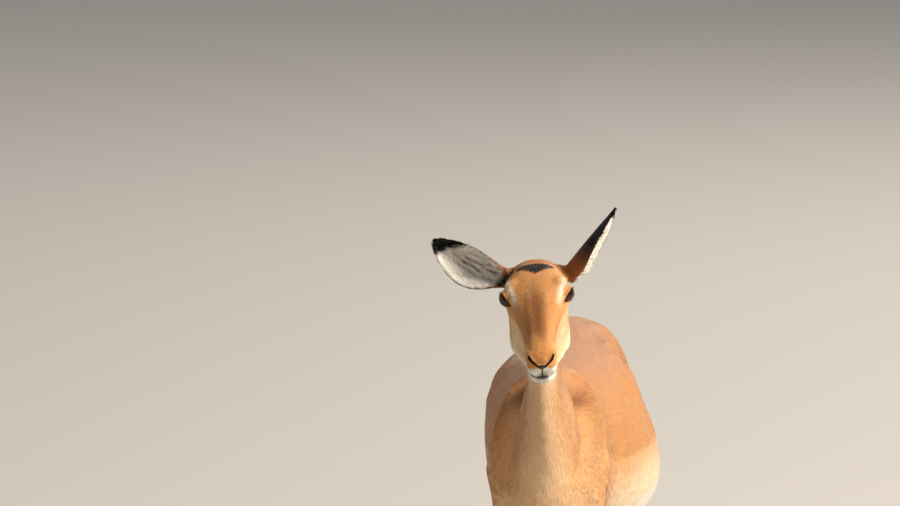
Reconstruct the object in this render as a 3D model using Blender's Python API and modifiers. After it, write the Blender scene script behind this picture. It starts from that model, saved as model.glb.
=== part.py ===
"""An impala ewe, standing and looking ahead, life size.

Metres, +Z up. The animal faces -Y and its left side is +X. The flesh is modelled whole from lofted
muscle masses, fused, and then parted into named pieces by thin cuts. Eyes, ears and hooves are pieces
of their own. The origin is at the centre of the bounding box, at the level of the soles.
"""

import math

import bmesh
import bpy
import numpy as np
from mathutils import Matrix, Vector

GAP = 0.0003  # clearance between touching pieces

# Eyes, and how the head is held
EYE_POINT = Vector((0.004, -0.655, 1.052))  # midway between the eyes
EYE_OFFSET = Vector((0.0470, -0.099, 0.018))  # left eye's centre in the head's own frame, from the poll
EYE_RADIUS = 0.0185
HEAD_PITCH = math.radians(20.5)
HEAD_YAW = math.radians(5.0)
HEAD_ROLL = math.radians(-4.5)

# Ears
EAR_LENGTH = 0.154
EAR_HALF_WIDTH = 0.038
EAR_WALL = 0.0045
EAR_BOW = 0.010  # how far the rib bows outwards
EAR_ROWS = 14
EAR_COLUMNS = 8
EAR_ROOT = Vector((0.045, -0.012, 0.010))  # left ear's root in the head's own frame
EAR_SET = {
    # the way from root to tip, and the way that the cup faces
    "left": ((0.63, 0.05, 0.77), (0.75, -0.15, -0.58)),
    "right": ((-0.91, 0.04, 0.41), (0.10, -1.0, -0.10)),
}

# Feet
HOOF_LENGTH = 0.058
HOOF_HEIGHT = 0.034  # at the middle of its length
HOOF_SLANT = 0.42  # fall of its upper edge from toe to heel
HOOF_HALF_WIDTH = 0.0112
HOOF_RAKE = 0.013  # how far its upper edge lies behind its sole
HOOF_SIDES = 16
HOOF_LEVELS = 3
HOOF_SHORTENING = 0.30  # from the sole to the upper edge
HOOF_NARROWING = 0.14
TOE_NARROWING = 0.35
TOE_INWARDS = 0.40  # how far the toe leans to the cleft, in half widths
CLEFT = 0.002
FRONT_FOOT = Vector((0.058, -0.318, 0.0))
HIND_FOOT = Vector((0.072, 0.352, 0.0))

# The paunch
PAUNCH_TOP = 0.74
PAUNCH_MIDDLE = 0.06
PAUNCH_REACH = 0.20
PAUNCH_LEAN = 0.17

# Thin cuts between the named pieces
FAR = 3.0
NECK_ROOT_CUT = Vector((0, -0.385, 0.790))
NECK_ROOT_NORMAL = Vector((0, -0.676, 0.737))
THROAT_CUT = Vector((0, -0.520, 0.955))
THROAT_NORMAL = Vector((0, -0.400, 0.917))
LEG_REACH = 0.25
LEGS = (
    # name, foot, level of the cut, and how far the leg may reach forwards and back
    ("front", FRONT_FOOT, 0.478, -0.42, -0.18),
    ("hind", HIND_FOOT, 0.498, 0.215, 0.56),
)

# Fineness
CREASE = math.radians(50)
BODY_VOXEL = 0.0045
BODY_ROUNDS = 20  # of smoothing
BODY_TRIANGLES = 3900
HEAD_VOXEL = 0.0025
HEAD_ROUNDS = 12
EASE_IN = 0.50  # a round of smoothing moves points in by this share, then back out
EASE_OUT = -0.53
HEAD_TRIANGLES = 2100
TRUNK_SIDES = 36
LIMB_SIDES = 28
TAIL_SIDES = 12
BODY_STEP = 0.010  # between a loft's sections
HEAD_STEP = 0.006
TAIL_STEP = 0.024
BLOB_FINENESS = (24, 16)  # round the ball, and from pole to pole
EYE_FINENESS = (20, 12)

# Finishes
COAT_COLOUR = (0.50, 0.24, 0.09)
LEG_COLOUR = (0.56, 0.32, 0.15)
EAR_COLOUR = (0.60, 0.50, 0.42)
EYE_COLOUR = (0.010, 0.006, 0.005)
HOOF_COLOUR = (0.03, 0.025, 0.022)
HAIR_ROUGHNESS = 0.75
EAR_ROUGHNESS = 0.80
EYE_ROUGHNESS = 0.05
HORN_ROUGHNESS = 0.40


def clear_scene():
    for obj in list(bpy.data.objects):
        bpy.data.objects.remove(obj)


def new_collection(name):
    found = bpy.data.collections.new(name)
    bpy.context.scene.collection.children.link(found)
    return found


def material(name, colour, roughness):
    made = bpy.data.materials.new(name)
    made.use_nodes = True
    shader = made.node_tree.nodes["Principled BSDF"]
    shader.inputs["Base Color"].default_value = (*colour, 1.0)
    shader.inputs["Roughness"].default_value = roughness
    shader.inputs["Metallic"].default_value = 0.0
    return made


def head_frame():
    """Carries head coordinates (nose towards -Y, poll at the origin) to the animal's."""
    turn = (
        Matrix.Rotation(HEAD_YAW, 4, "Z")
        @ Matrix.Rotation(HEAD_ROLL, 4, "Y")
        @ Matrix.Rotation(HEAD_PITCH, 4, "X")
    )
    middle = Vector((0.0, EYE_OFFSET.y, EYE_OFFSET.z))
    return Matrix.Translation(EYE_POINT) @ turn @ Matrix.Translation(-middle)


HEAD = head_frame()


# Rows of sizes along a body part, eased into a smooth run

def eased(stations, step):
    """The stations' numbers read off a smooth curve through them, about one row each step."""
    rows = np.array(stations, float)
    gaps = np.linalg.norm(np.diff(rows[:, :3], axis=0), axis=1)
    along = np.concatenate([[0.0], np.cumsum(gaps)])
    slopes = np.gradient(rows, along, axis=0)
    count = max(int(round(along[-1] / step)), len(rows))
    made = []
    for place in np.linspace(0.0, along[-1], count + 1):
        i = min(int(np.searchsorted(along, place, "right")) - 1, len(rows) - 2)
        span = along[i + 1] - along[i]
        t = (place - along[i]) / span
        made.append(
            (2 * t**3 - 3 * t**2 + 1) * rows[i]
            + (t**3 - 2 * t**2 + t) * span * slopes[i]
            + (3 * t**2 - 2 * t**3) * rows[i + 1]
            + (t**3 - t**2) * span * slopes[i + 1]
        )
    return np.array(made)


def section(half, above, below, fullness, sides):
    """A rounded section's points: fullness 2 is an ellipse, more is boxier, less is keeled."""
    points = []
    for k in range(sides):
        turn = 2 * math.pi * k / sides
        across = math.copysign(abs(math.cos(turn)) ** (2 / fullness), math.cos(turn))
        rise = math.copysign(abs(math.sin(turn)) ** (2 / fullness), math.sin(turn))
        points.append((half * across, (above if rise > 0 else below) * rise))
    return points


def loft(bm, stations, frame=None, side=(1, 0, 0), sides=LIMB_SIDES, step=BODY_STEP, mirrored=False):
    """A closed body through sections set square to their path.

    A station is x, y, z of its centre, half width, reach above, reach below, and fullness. Paths run
    from nose to tail or from top to foot, so that above is the back or the rear side.
    """
    frame = frame or Matrix()
    rows = eased(stations, step)
    side = Vector(side)
    rings = []
    for i, row in enumerate(rows):
        ahead = Vector(rows[min(i + 1, len(rows) - 1)][:3] - rows[max(i - 1, 0)][:3]).normalized()
        up = side.cross(ahead).normalized()
        across = ahead.cross(up)
        ring = []
        for x, z in section(max(row[3], 1e-4), max(row[4], 1e-4), max(row[5], 1e-4), row[6], sides):
            place = Vector(row[:3]) + across * x + up * z
            if mirrored:
                place.x = -place.x
            ring.append(bm.verts.new(frame @ place))
        rings.append(ring)
    faces = [bm.faces.new(rings[0]), bm.faces.new(rings[-1])]
    for near, far in zip(rings, rings[1:]):
        for k in range(sides):
            other = (k + 1) % sides
            faces.append(bm.faces.new((near[k], near[other], far[other], far[k])))
    bmesh.ops.recalc_face_normals(bm, faces=faces)


def blob(bm, centre, radii, frame=None, tilt=0.0, mirrored=False):
    """An egg-shaped muscle or bone end; tilt turns it about X."""
    frame = frame or Matrix()
    centre = Vector(centre)
    if mirrored:
        centre.x = -centre.x
    place = (
        frame
        @ Matrix.Translation(centre)
        @ Matrix.Rotation(tilt, 4, "X")
        @ Matrix.Diagonal((*radii, 1.0))
    )
    around, from_pole = BLOB_FINENESS
    bmesh.ops.create_uvsphere(bm, u_segments=around, v_segments=from_pole, radius=1.0, matrix=place)


# The body's masses

TRUNK = [
    # x, y, z of the widest level, half width, above, below, fullness
    (0, -0.412, 0.670, 0.026, 0.045, 0.045, 2.0),
    (0, -0.385, 0.672, 0.060, 0.100, 0.095, 2.0),
    (0, -0.340, 0.668, 0.080, 0.160, 0.140, 2.0),
    (0, -0.280, 0.660, 0.093, 0.193, 0.162, 2.0),
    (0, -0.210, 0.652, 0.110, 0.200, 0.163, 2.0),
    (0, -0.120, 0.640, 0.139, 0.202, 0.160, 2.0),
    (0, -0.020, 0.630, 0.162, 0.207, 0.155, 2.05),
    (0, 0.075, 0.628, 0.168, 0.213, 0.150, 2.1),
    (0, 0.155, 0.640, 0.157, 0.208, 0.143, 2.1),
    (0, 0.230, 0.668, 0.132, 0.192, 0.136, 2.05),
    (0, 0.300, 0.700, 0.110, 0.164, 0.138, 2.05),
    (0, 0.362, 0.718, 0.090, 0.132, 0.120, 2.0),
    (0, 0.410, 0.724, 0.064, 0.095, 0.085, 2.0),
    (0, 0.440, 0.728, 0.028, 0.050, 0.045, 2.0),
]

NECK = [
    # from the poll down to the chest; above is the crest
    (0.003, -0.548, 1.072, 0.024, 0.024, 0.024, 2.0),
    (0.002, -0.533, 1.042, 0.036, 0.044, 0.042, 2.0),
    (0.001, -0.513, 0.992, 0.037, 0.052, 0.052, 2.0),
    (0.000, -0.485, 0.930, 0.0360, 0.058, 0.059, 2.0),
    (0.000, -0.447, 0.865, 0.036, 0.070, 0.067, 2.0),
    (0.000, -0.402, 0.805, 0.045, 0.088, 0.080, 2.0),
    (0, -0.352, 0.750, 0.063, 0.104, 0.098, 2.0),
    (0, -0.295, 0.705, 0.076, 0.116, 0.112, 2.0),
    (0, -0.230, 0.685, 0.066, 0.100, 0.100, 2.0),
]

SHOULDER_BLADE = [
    (0.030, -0.215, 0.838, 0.014, 0.036, 0.024, 2.0),
    (0.056, -0.240, 0.790, 0.022, 0.056, 0.040, 2.0),
    (0.076, -0.275, 0.725, 0.027, 0.062, 0.046, 2.0),
    (0.083, -0.318, 0.660, 0.028, 0.062, 0.046, 2.0),
    (0.078, -0.345, 0.610, 0.024, 0.048, 0.034, 2.0),
]

UPPER_ARM = [
    (0.078, -0.325, 0.655, 0.024, 0.050, 0.045, 2.0),
    (0.080, -0.300, 0.610, 0.030, 0.062, 0.055, 2.0),
    (0.076, -0.275, 0.560, 0.031, 0.056, 0.056, 2.0),
    (0.071, -0.268, 0.510, 0.027, 0.042, 0.042, 2.0),
]

FRONT_LEG = [
    # above is the rear side, below the front
    (0.072, -0.272, 0.575, 0.029, 0.050, 0.052, 2.0),
    (0.069, -0.270, 0.520, 0.027, 0.046, 0.042, 2.0),
    (0.066, -0.274, 0.465, 0.0230, 0.032, 0.034, 2.0),
    (0.063, -0.280, 0.405, 0.0185, 0.022, 0.026, 2.0),
    (0.061, -0.285, 0.348, 0.0160, 0.0170, 0.0190, 2.1),
    (0.060, -0.287, 0.308, 0.0190, 0.0185, 0.0210, 2.4),
    (0.060, -0.286, 0.274, 0.0160, 0.0180, 0.0160, 2.2),
    (0.059, -0.285, 0.225, 0.0122, 0.0150, 0.0125, 2.1),
    (0.058, -0.285, 0.160, 0.0118, 0.0148, 0.0118, 2.1),
    (0.058, -0.285, 0.120, 0.0132, 0.0165, 0.0130, 2.1),
    (0.058, -0.287, 0.094, 0.0165, 0.0200, 0.0150, 2.2),
    (0.058, -0.295, 0.070, 0.0145, 0.0160, 0.0140, 2.2),
    (0.058, -0.305, 0.048, 0.0195, 0.0200, 0.0185, 2.3),
    (0.058, -0.309, 0.024, 0.0205, 0.0205, 0.0200, 2.3),
]

HAUNCH = [
    (0.036, 0.225, 0.826, 0.022, 0.034, 0.034, 2.0),
    (0.054, 0.268, 0.775, 0.042, 0.085, 0.068, 2.0),
    (0.066, 0.298, 0.710, 0.053, 0.118, 0.095, 2.0),
    (0.073, 0.305, 0.645, 0.053, 0.112, 0.108, 2.0),
    (0.078, 0.292, 0.580, 0.044, 0.092, 0.094, 2.0),
    (0.080, 0.295, 0.520, 0.034, 0.074, 0.064, 2.0),
]

HIND_LEG = [
    (0.080, 0.290, 0.580, 0.036, 0.080, 0.078, 2.0),
    (0.080, 0.302, 0.520, 0.0310, 0.066, 0.060, 2.0),
    (0.079, 0.328, 0.460, 0.0250, 0.050, 0.042, 2.0),
    (0.077, 0.361, 0.405, 0.0190, 0.036, 0.026, 2.0),
    (0.075, 0.391, 0.360, 0.0175, 0.032, 0.020, 2.1),
    (0.074, 0.408, 0.324, 0.0200, 0.0280, 0.0230, 2.3),
    (0.074, 0.408, 0.285, 0.0165, 0.0210, 0.0185, 2.2),
    (0.073, 0.401, 0.220, 0.0130, 0.0160, 0.0140, 2.1),
    (0.072, 0.393, 0.155, 0.0125, 0.0155, 0.0130, 2.1),
    (0.072, 0.388, 0.120, 0.0138, 0.0170, 0.0140, 2.1),
    (0.072, 0.384, 0.094, 0.0172, 0.0200, 0.0160, 2.2),
    (0.072, 0.376, 0.070, 0.0150, 0.0160, 0.0145, 2.2),
    (0.072, 0.366, 0.048, 0.0195, 0.0200, 0.0185, 2.3),
    (0.072, 0.362, 0.024, 0.0205, 0.0205, 0.0200, 2.3),
]

TAIL = [
    (0, 0.395, 0.792, 0.018, 0.018, 0.018, 2.0),
    (0, 0.432, 0.790, 0.019, 0.018, 0.016, 2.0),
    (0, 0.456, 0.764, 0.020, 0.016, 0.012, 2.0),
    (0, 0.468, 0.715, 0.022, 0.014, 0.010, 2.0),
    (0, 0.474, 0.650, 0.024, 0.014, 0.010, 2.0),
    (0, 0.477, 0.585, 0.022, 0.014, 0.010, 2.0),
    (0, 0.476, 0.535, 0.014, 0.010, 0.008, 2.0),
    (0, 0.474, 0.510, 0.004, 0.004, 0.003, 2.0),
]

# The head, in its own frame: y is 0 at the poll and -0.262 at the nose

FACE = [
    (0, -0.2840, -0.014, 0.0100, 0.0080, 0.0120, 2.2),
    (0, -0.2780, -0.014, 0.0205, 0.0145, 0.0190, 2.3),
    (0, -0.2650, -0.012, 0.0265, 0.0190, 0.0250, 2.3),
    (0, -0.2420, -0.008, 0.0290, 0.0215, 0.0310, 2.3),
    (0, -0.2100, -0.003, 0.0325, 0.0250, 0.0370, 2.2),
    (0, -0.1780, 0.003, 0.0395, 0.0285, 0.0430, 2.2),
    (0, -0.1450, 0.008, 0.0500, 0.0315, 0.0500, 2.3),
    (0, -0.1100, 0.011, 0.0570, 0.0340, 0.0570, 2.4),
    (0, -0.0700, 0.012, 0.0595, 0.0360, 0.0600, 2.4),
    (0, -0.0350, 0.010, 0.0550, 0.0365, 0.0600, 2.2),
    (0, -0.0050, 0.002, 0.0460, 0.0350, 0.0540, 2.1),
    (0, 0.0180, -0.012, 0.0370, 0.0280, 0.0450, 2.0),
    (0, 0.0330, -0.024, 0.0200, 0.0150, 0.0280, 2.0),
]

JAW = [
    (0, -0.2730, -0.0500, 0.0105, 0.0100, 0.0080, 2.2),
    (0, -0.2640, -0.0510, 0.0200, 0.0170, 0.0145, 2.2),
    (0, -0.2380, -0.0520, 0.0255, 0.0230, 0.0175, 2.2),
    (0, -0.2000, -0.0560, 0.0330, 0.0280, 0.0200, 2.2),
    (0, -0.1600, -0.0620, 0.0460, 0.0300, 0.0240, 2.2),
    (0, -0.1200, -0.0670, 0.0545, 0.0320, 0.0285, 2.2),
    (0, -0.0800, -0.0690, 0.0565, 0.0330, 0.0310, 2.2),
    (0, -0.0400, -0.0650, 0.0530, 0.0330, 0.0310, 2.1),
    (0, -0.0050, -0.0550, 0.0420, 0.0280, 0.0260, 2.0),
]

MOUTH = [
    (0, -0.2680, -0.0350, 0.0200, 0.0120, 0.0120, 2.5),
    (0, -0.2420, -0.0360, 0.0265, 0.0180, 0.0180, 2.5),
    (0, -0.2080, -0.0360, 0.0312, 0.0230, 0.0230, 2.5),
    (0, -0.1720, -0.0370, 0.0395, 0.0290, 0.0280, 2.5),
    (0, -0.1350, -0.0380, 0.0492, 0.0340, 0.0320, 2.5),
    (0, -0.0900, -0.0390, 0.0540, 0.0360, 0.0340, 2.5),
    (0, -0.0400, -0.0380, 0.0505, 0.0330, 0.0300, 2.4),
    (0, 0.0050, -0.0340, 0.0400, 0.0260, 0.0240, 2.2),
]


def hang(points):
    """The full paunch lets the lower barrel bulge towards the animal's left."""
    for point in points:
        low = max(0.0, PAUNCH_TOP - point.co.z)
        near = math.exp(-(((point.co.y - PAUNCH_MIDDLE) / PAUNCH_REACH) ** 2))
        point.co.x += PAUNCH_LEAN * low * near


def add_body(bm):
    loft(bm, TRUNK, sides=TRUNK_SIDES)
    hang(bm.verts)
    loft(bm, NECK)
    for mirrored in (False, True):
        loft(bm, SHOULDER_BLADE, side=(0.93, 0.10, 0.36), mirrored=mirrored)
        for stations in (UPPER_ARM, FRONT_LEG, HAUNCH, HIND_LEG):
            loft(bm, stations, mirrored=mirrored)
        # point of the hip, elbow, point of the hock, breast
        blob(bm, (0.060, 0.180, 0.790), (0.032, 0.060, 0.034), mirrored=mirrored)
        blob(bm, (0.072, -0.232, 0.520), (0.016, 0.020, 0.026), mirrored=mirrored)
        blob(bm, (0.075, 0.424, 0.350), (0.0125, 0.0125, 0.022), mirrored=mirrored)
        blob(bm, (0.036, -0.340, 0.610), (0.046, 0.050, 0.085), mirrored=mirrored)
    blob(bm, (0, 0.405, 0.775), (0.030, 0.045, 0.035))


def add_head(bm):
    loft(bm, FACE, frame=HEAD, step=HEAD_STEP)
    loft(bm, JAW, frame=HEAD, step=HEAD_STEP)
    loft(bm, MOUTH, frame=HEAD, step=HEAD_STEP)
    for mirrored in (False, True):
        # eye socket, brow, cheek, ear root, wing of the nostril, upper lip
        blob(bm, (0.0400, -0.0960, 0.0150), (0.0200, 0.0280, 0.0240), HEAD, mirrored=mirrored)
        blob(bm, (0.0370, -0.0850, 0.0310), (0.0200, 0.0260, 0.0140), HEAD, mirrored=mirrored)
        blob(bm, (0.0320, -0.0850, -0.0450), (0.0220, 0.0520, 0.0450), HEAD, mirrored=mirrored)
        blob(bm, (0.0430, -0.0160, 0.0100), (0.0170, 0.0200, 0.0210), HEAD, mirrored=mirrored)
        blob(bm, (0.0165, -0.2650, -0.0080), (0.0110, 0.0150, 0.0125), HEAD, mirrored=mirrored)
        blob(bm, (0.0140, -0.2620, -0.0310), (0.0140, 0.0170, 0.0130), HEAD, mirrored=mirrored)


# Fusing, smoothing and parting

def link(bm, name, collection):
    mesh = bpy.data.meshes.new(name)
    bm.to_mesh(mesh)
    bm.free()
    obj = bpy.data.objects.new(name, mesh)
    collection.objects.link(obj)
    return obj


def settle(obj):
    """The object's evaluated mesh becomes its own, with no modifiers left."""
    graph = bpy.context.evaluated_depsgraph_get()
    made = bpy.data.meshes.new_from_object(obj.evaluated_get(graph))
    obj.modifiers.clear()
    obj.data = made


def relax(mesh, rounds):
    """Smooths a mesh without shrinking it, by easing points in and then back out."""
    count = len(mesh.vertices)
    points = np.empty(count * 3)
    mesh.vertices.foreach_get("co", points)
    points = points.reshape(-1, 3)
    ends = np.empty(len(mesh.edges) * 2, np.int32)
    mesh.edges.foreach_get("vertices", ends)
    first, second = ends.reshape(-1, 2).T
    share = np.bincount(first, minlength=count) + np.bincount(second, minlength=count)
    for _ in range(rounds):
        for ease in (EASE_IN, EASE_OUT):
            pull = np.stack(
                [
                    np.bincount(first, points[second, k], count)
                    + np.bincount(second, points[first, k], count)
                    for k in range(3)
                ],
                axis=1,
            )
            points = points + ease * (pull / share[:, None] - points)
    mesh.vertices.foreach_set("co", points.ravel())
    mesh.update()


def fuse(obj, voxel, rounds, triangles):
    """One closed skin round all of the object's overlapping masses, thinned to so many triangles."""
    remesh = obj.modifiers.new("one_skin", "REMESH")
    remesh.mode = "VOXEL"
    remesh.voxel_size = voxel
    settle(obj)
    relax(obj.data, rounds)
    thin = obj.modifiers.new("thin", "DECIMATE")
    thin.ratio = triangles / (2 * len(obj.data.polygons))
    thin.use_collapse_triangulate = True
    settle(obj)


def box(name, collection, centre, size, turn=None, grow=0.0):
    """A cutter, optionally turned and grown on every side."""
    bm = bmesh.new()
    bmesh.ops.create_cube(bm, size=1.0)
    place = (
        Matrix.Translation(centre)
        @ (turn or Matrix())
        @ Matrix.Diagonal((*(s + 2 * grow for s in size), 1.0))
    )
    bmesh.ops.transform(bm, matrix=place, verts=bm.verts)
    obj = link(bm, name, collection)
    obj.hide_render = True
    obj.display_type = "WIRE"
    return obj


def cut(obj, cutter, operation):
    boolean = obj.modifiers.new(f"{operation.lower()}_{cutter.name}", "BOOLEAN")
    boolean.operation = operation
    boolean.object = cutter
    return obj


def copy_of(obj, name, collection):
    made = bpy.data.objects.new(name, obj.data.copy())
    collection.objects.link(made)
    return made


def finish(obj, finish_material):
    obj.data.materials.clear()
    obj.data.materials.append(finish_material)
    return obj


# Ears

EAR_PROFILE = [
    # share of the length, share of the half width, half the angle that the wall wraps round
    (0.00, 0.43, 2.50),
    (0.12, 0.52, 2.15),
    (0.25, 0.76, 1.70),
    (0.40, 0.96, 1.30),
    (0.55, 1.00, 1.05),
    (0.70, 0.86, 0.92),
    (0.84, 0.62, 0.85),
    (0.94, 0.37, 0.80),
    (1.00, 0.10, 0.80),
]


def ear(name, collection, root, along, opening, outer):
    """A leaf rolled into a cup: a tube at its root, and open towards its tip.

    along runs from root to tip, opening is the way that the cup faces, and the rib bows towards outer.
    """
    along = Vector(along).normalized()
    opening = Vector(opening)
    opening = (opening - along * along.dot(opening)).normalized()
    across = along.cross(opening)
    if across.dot(Vector(outer)) < 0:
        across = -across
    shares, widths, wraps = np.array(EAR_PROFILE).T
    bm = bmesh.new()
    rows = []
    for i in range(EAR_ROWS + 1):
        share = i / EAR_ROWS
        wrap = np.interp(share, shares, wraps)
        radius = EAR_HALF_WIDTH * np.interp(share, shares, widths) / math.sin(min(wrap, math.pi / 2))
        rib = root + along * EAR_LENGTH * share + across * EAR_BOW * math.sin(math.pi * share)
        row = []
        for k in range(EAR_COLUMNS + 1):
            angle = wrap * (2 * k / EAR_COLUMNS - 1)
            lift = opening * radius * (1 - math.cos(angle))
            row.append(bm.verts.new(rib + across * radius * math.sin(angle) + lift))
        rows.append(row)
    for near, far in zip(rows, rows[1:]):
        for k in range(EAR_COLUMNS):
            bm.faces.new((near[k], near[k + 1], far[k + 1], far[k]))
    bmesh.ops.recalc_face_normals(bm, faces=bm.faces)
    obj = link(bm, name, collection)
    solid = obj.modifiers.new("wall", "SOLIDIFY")
    solid.thickness = EAR_WALL
    solid.offset = 0.0
    settle(obj)
    bm = bmesh.new()
    bm.from_mesh(obj.data)
    bmesh.ops.recalc_face_normals(bm, faces=bm.faces)
    bm.to_mesh(obj.data)
    bm.free()
    return obj


# Hooves


def crown_height(y, foot):
    """Height of the slanting plane where a foot's hoof ends and its hair begins."""
    return HOOF_HEIGHT - HOOF_SLANT * (y - foot.y)


def hoof(name, collection, foot, outward):
    """One half of a cloven hoof: flat sole, sloping front wall, straight inner wall."""
    bm = bmesh.new()
    rings = []
    for level in range(HOOF_LEVELS + 1):
        rise = level / HOOF_LEVELS
        length = HOOF_LENGTH * (1 - HOOF_SHORTENING * rise)
        width = HOOF_HALF_WIDTH * (1 - HOOF_NARROWING * rise)
        ring = []
        for k in range(HOOF_SIDES):
            turn = 2 * math.pi * k / HOOF_SIDES
            y = foot.y + 0.5 * length * math.sin(turn) + HOOF_RAKE * rise
            toe = max(0.0, -math.sin(turn)) ** 2
            x = math.cos(turn) * (1 - TOE_NARROWING * toe) - TOE_INWARDS * toe
            x = max(width * x, -width)
            x = CLEFT / 2 + width + x
            ring.append(bm.verts.new((foot.x + outward * x, y, rise * crown_height(y, foot))))
        rings.append(ring)
    faces = [bm.faces.new(rings[0]), bm.faces.new(rings[-1])]
    for near, far in zip(rings, rings[1:]):
        for k in range(HOOF_SIDES):
            other = (k + 1) % HOOF_SIDES
            faces.append(bm.faces.new((near[k], near[other], far[other], far[k])))
    bmesh.ops.recalc_face_normals(bm, faces=faces)
    return link(bm, name, collection)


# Parting the fused flesh into its named pieces


def beyond(name, collection, point, normal):
    """A big cutter that fills the space past a plane."""
    turn = Vector(normal).to_track_quat("Z", "Y").to_matrix().to_4x4()
    centre = Vector(point) + Vector(normal).normalized() * (GAP / 2 + FAR / 2)
    return box(name, collection, centre, (FAR, FAR, FAR), turn)


def span(name, collection, low, high):
    low, high = Vector(low), Vector(high)
    return box(name, collection, (low + high) / 2, high - low)


def part_flesh(body, skull, impala, workshop, coat, leg_coat):
    """Head, neck, trunk, tail and legs, each kept to its own side of thin cuts."""
    past_neck_root = beyond("past_neck_root", workshop, NECK_ROOT_CUT, NECK_ROOT_NORMAL)
    past_throat = beyond("past_throat", workshop, THROAT_CUT, THROAT_NORMAL)
    before_throat = beyond("before_throat", workshop, THROAT_CUT, -THROAT_NORMAL)

    head = cut(copy_of(skull, "head", impala), past_throat, "INTERSECT")
    neck = cut(copy_of(body, "neck", impala), past_neck_root, "INTERSECT")
    cut(neck, before_throat, "INTERSECT")

    before_neck = beyond("before_neck", workshop, NECK_ROOT_CUT, -NECK_ROOT_NORMAL)
    trunk = cut(copy_of(body, "trunk", impala), before_neck, "INTERSECT")
    legs = []
    for place, foot, level, near, far in LEGS:
        across = (0.0, LEG_REACH)
        hollow = span(f"room_{place}", workshop, (-LEG_REACH, near, -1), (LEG_REACH, far, level + GAP / 2))
        cut(trunk, hollow, "DIFFERENCE")
        for side_name, side in (("left", 1), ("right", -1)):
            low_x, high_x = sorted(side * x for x in across)
            room = span(
                f"leg_{place}_{side_name}_room",
                workshop,
                (low_x, near + GAP, -1),
                (high_x, far - GAP, level - GAP / 2),
            )
            leg = cut(copy_of(body, f"leg_{place}_{side_name}", impala), room, "INTERSECT")
            foot_point = Vector((side * foot.x, foot.y, HOOF_HEIGHT + GAP / 2))
            above = beyond(
                f"above_hoof_{place}_{side_name}", workshop, foot_point, Vector((0, HOOF_SLANT, 1))
            )
            cut(leg, above, "INTERSECT")
            legs.append(finish(leg, leg_coat))
    for piece in (head, neck, trunk):
        finish(piece, coat)
    return head


def add_eyes(head, impala, workshop, gloss):
    around, from_pole = EYE_FINENESS
    for side_name, side in (("left", 1), ("right", -1)):
        centre = HEAD @ Vector((side * EYE_OFFSET.x, EYE_OFFSET.y, EYE_OFFSET.z))
        for name, collection, radius in (
            (f"eye_{side_name}", impala, EYE_RADIUS),
            (f"socket_{side_name}", workshop, EYE_RADIUS + GAP),
        ):
            bm = bmesh.new()
            place = Matrix.Translation(centre)
            bmesh.ops.create_uvsphere(bm, u_segments=around, v_segments=from_pole, radius=radius, matrix=place)
            ball = link(bm, name, collection)
            if collection == impala:
                finish(ball, gloss)
            else:
                ball.hide_render = True
                ball.display_type = "WIRE"
                cut(head, ball, "DIFFERENCE")


def room_for(obj, name, workshop):
    """A cutter that holds the object and the clearance round it."""
    room = copy_of(obj, name, workshop)
    room.hide_render = True
    room.display_type = "WIRE"
    grow = room.modifiers.new("clearance", "DISPLACE")
    grow.strength = GAP
    grow.mid_level = 0.0
    return room


def add_tail(body, impala, workshop, coat):
    bm = bmesh.new()
    loft(bm, TAIL, sides=TAIL_SIDES, step=TAIL_STEP)
    tail = link(bm, "tail", impala)
    finish(cut(tail, room_for(body, "rump_room", workshop), "DIFFERENCE"), coat)


def add_ears(skull, impala, workshop, ear_coat):
    skin = room_for(skull, "head_room", workshop)
    turn = HEAD.to_3x3()
    for side_name, side in (("left", 1), ("right", -1)):
        root = HEAD @ Vector((side * EAR_ROOT.x, EAR_ROOT.y, EAR_ROOT.z))
        along, opening = EAR_SET[side_name]
        leaf = ear(f"ear_{side_name}", impala, root, along, opening, turn @ Vector((side, 0, 0.5)))
        finish(cut(leaf, skin, "DIFFERENCE"), ear_coat)


def add_hooves(impala, horn):
    for place, foot, _, _, _ in LEGS:
        for side_name, side in (("left", 1), ("right", -1)):
            for half, outward in (("outer", side), ("inner", -side)):
                foot_point = Vector((side * foot.x, foot.y, 0.0))
                name = f"hoof_{place}_{side_name}_{half}"
                finish(hoof(name, impala, foot_point, outward), horn)


def settle_all(impala):
    """Every Boolean is applied, and the animal's box is centred over the origin."""
    for obj in impala.objects:
        settle(obj)
    corners = np.array([v.co for obj in impala.objects for v in obj.data.vertices])
    low, high = corners.min(axis=0), corners.max(axis=0)
    shift = Vector((-(low[0] + high[0]) / 2, -(low[1] + high[1]) / 2, -low[2]))
    for obj in impala.objects:
        obj.data.transform(Matrix.Translation(shift))
        obj.data.shade_smooth()
        obj.data.set_sharp_from_angle(angle=CREASE)


def main():
    clear_scene()
    impala = new_collection("impala_ewe")
    workshop = new_collection("cutters")
    coat = material("coat", COAT_COLOUR, HAIR_ROUGHNESS)
    leg_coat = material("leg_coat", LEG_COLOUR, HAIR_ROUGHNESS)
    ear_coat = material("ear_coat", EAR_COLOUR, EAR_ROUGHNESS)
    gloss = material("eye", EYE_COLOUR, EYE_ROUGHNESS)
    horn = material("hoof_horn", HOOF_COLOUR, HORN_ROUGHNESS)

    bm = bmesh.new()
    add_body(bm)
    add_head(bm)
    body = link(bm, "whole_body", workshop)
    fuse(body, BODY_VOXEL, BODY_ROUNDS, BODY_TRIANGLES)

    bm = bmesh.new()
    loft(bm, NECK)
    add_head(bm)
    skull = link(bm, "whole_head", workshop)
    fuse(skull, HEAD_VOXEL, HEAD_ROUNDS, HEAD_TRIANGLES)
    for guide in (body, skull):
        guide.hide_render = True
        guide.display_type = "WIRE"

    head = part_flesh(body, skull, impala, workshop, coat, leg_coat)
    add_tail(body, impala, workshop, coat)
    add_eyes(head, impala, workshop, gloss)
    add_ears(skull, impala, workshop, ear_coat)
    add_hooves(impala, horn)
    settle_all(impala)


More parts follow.
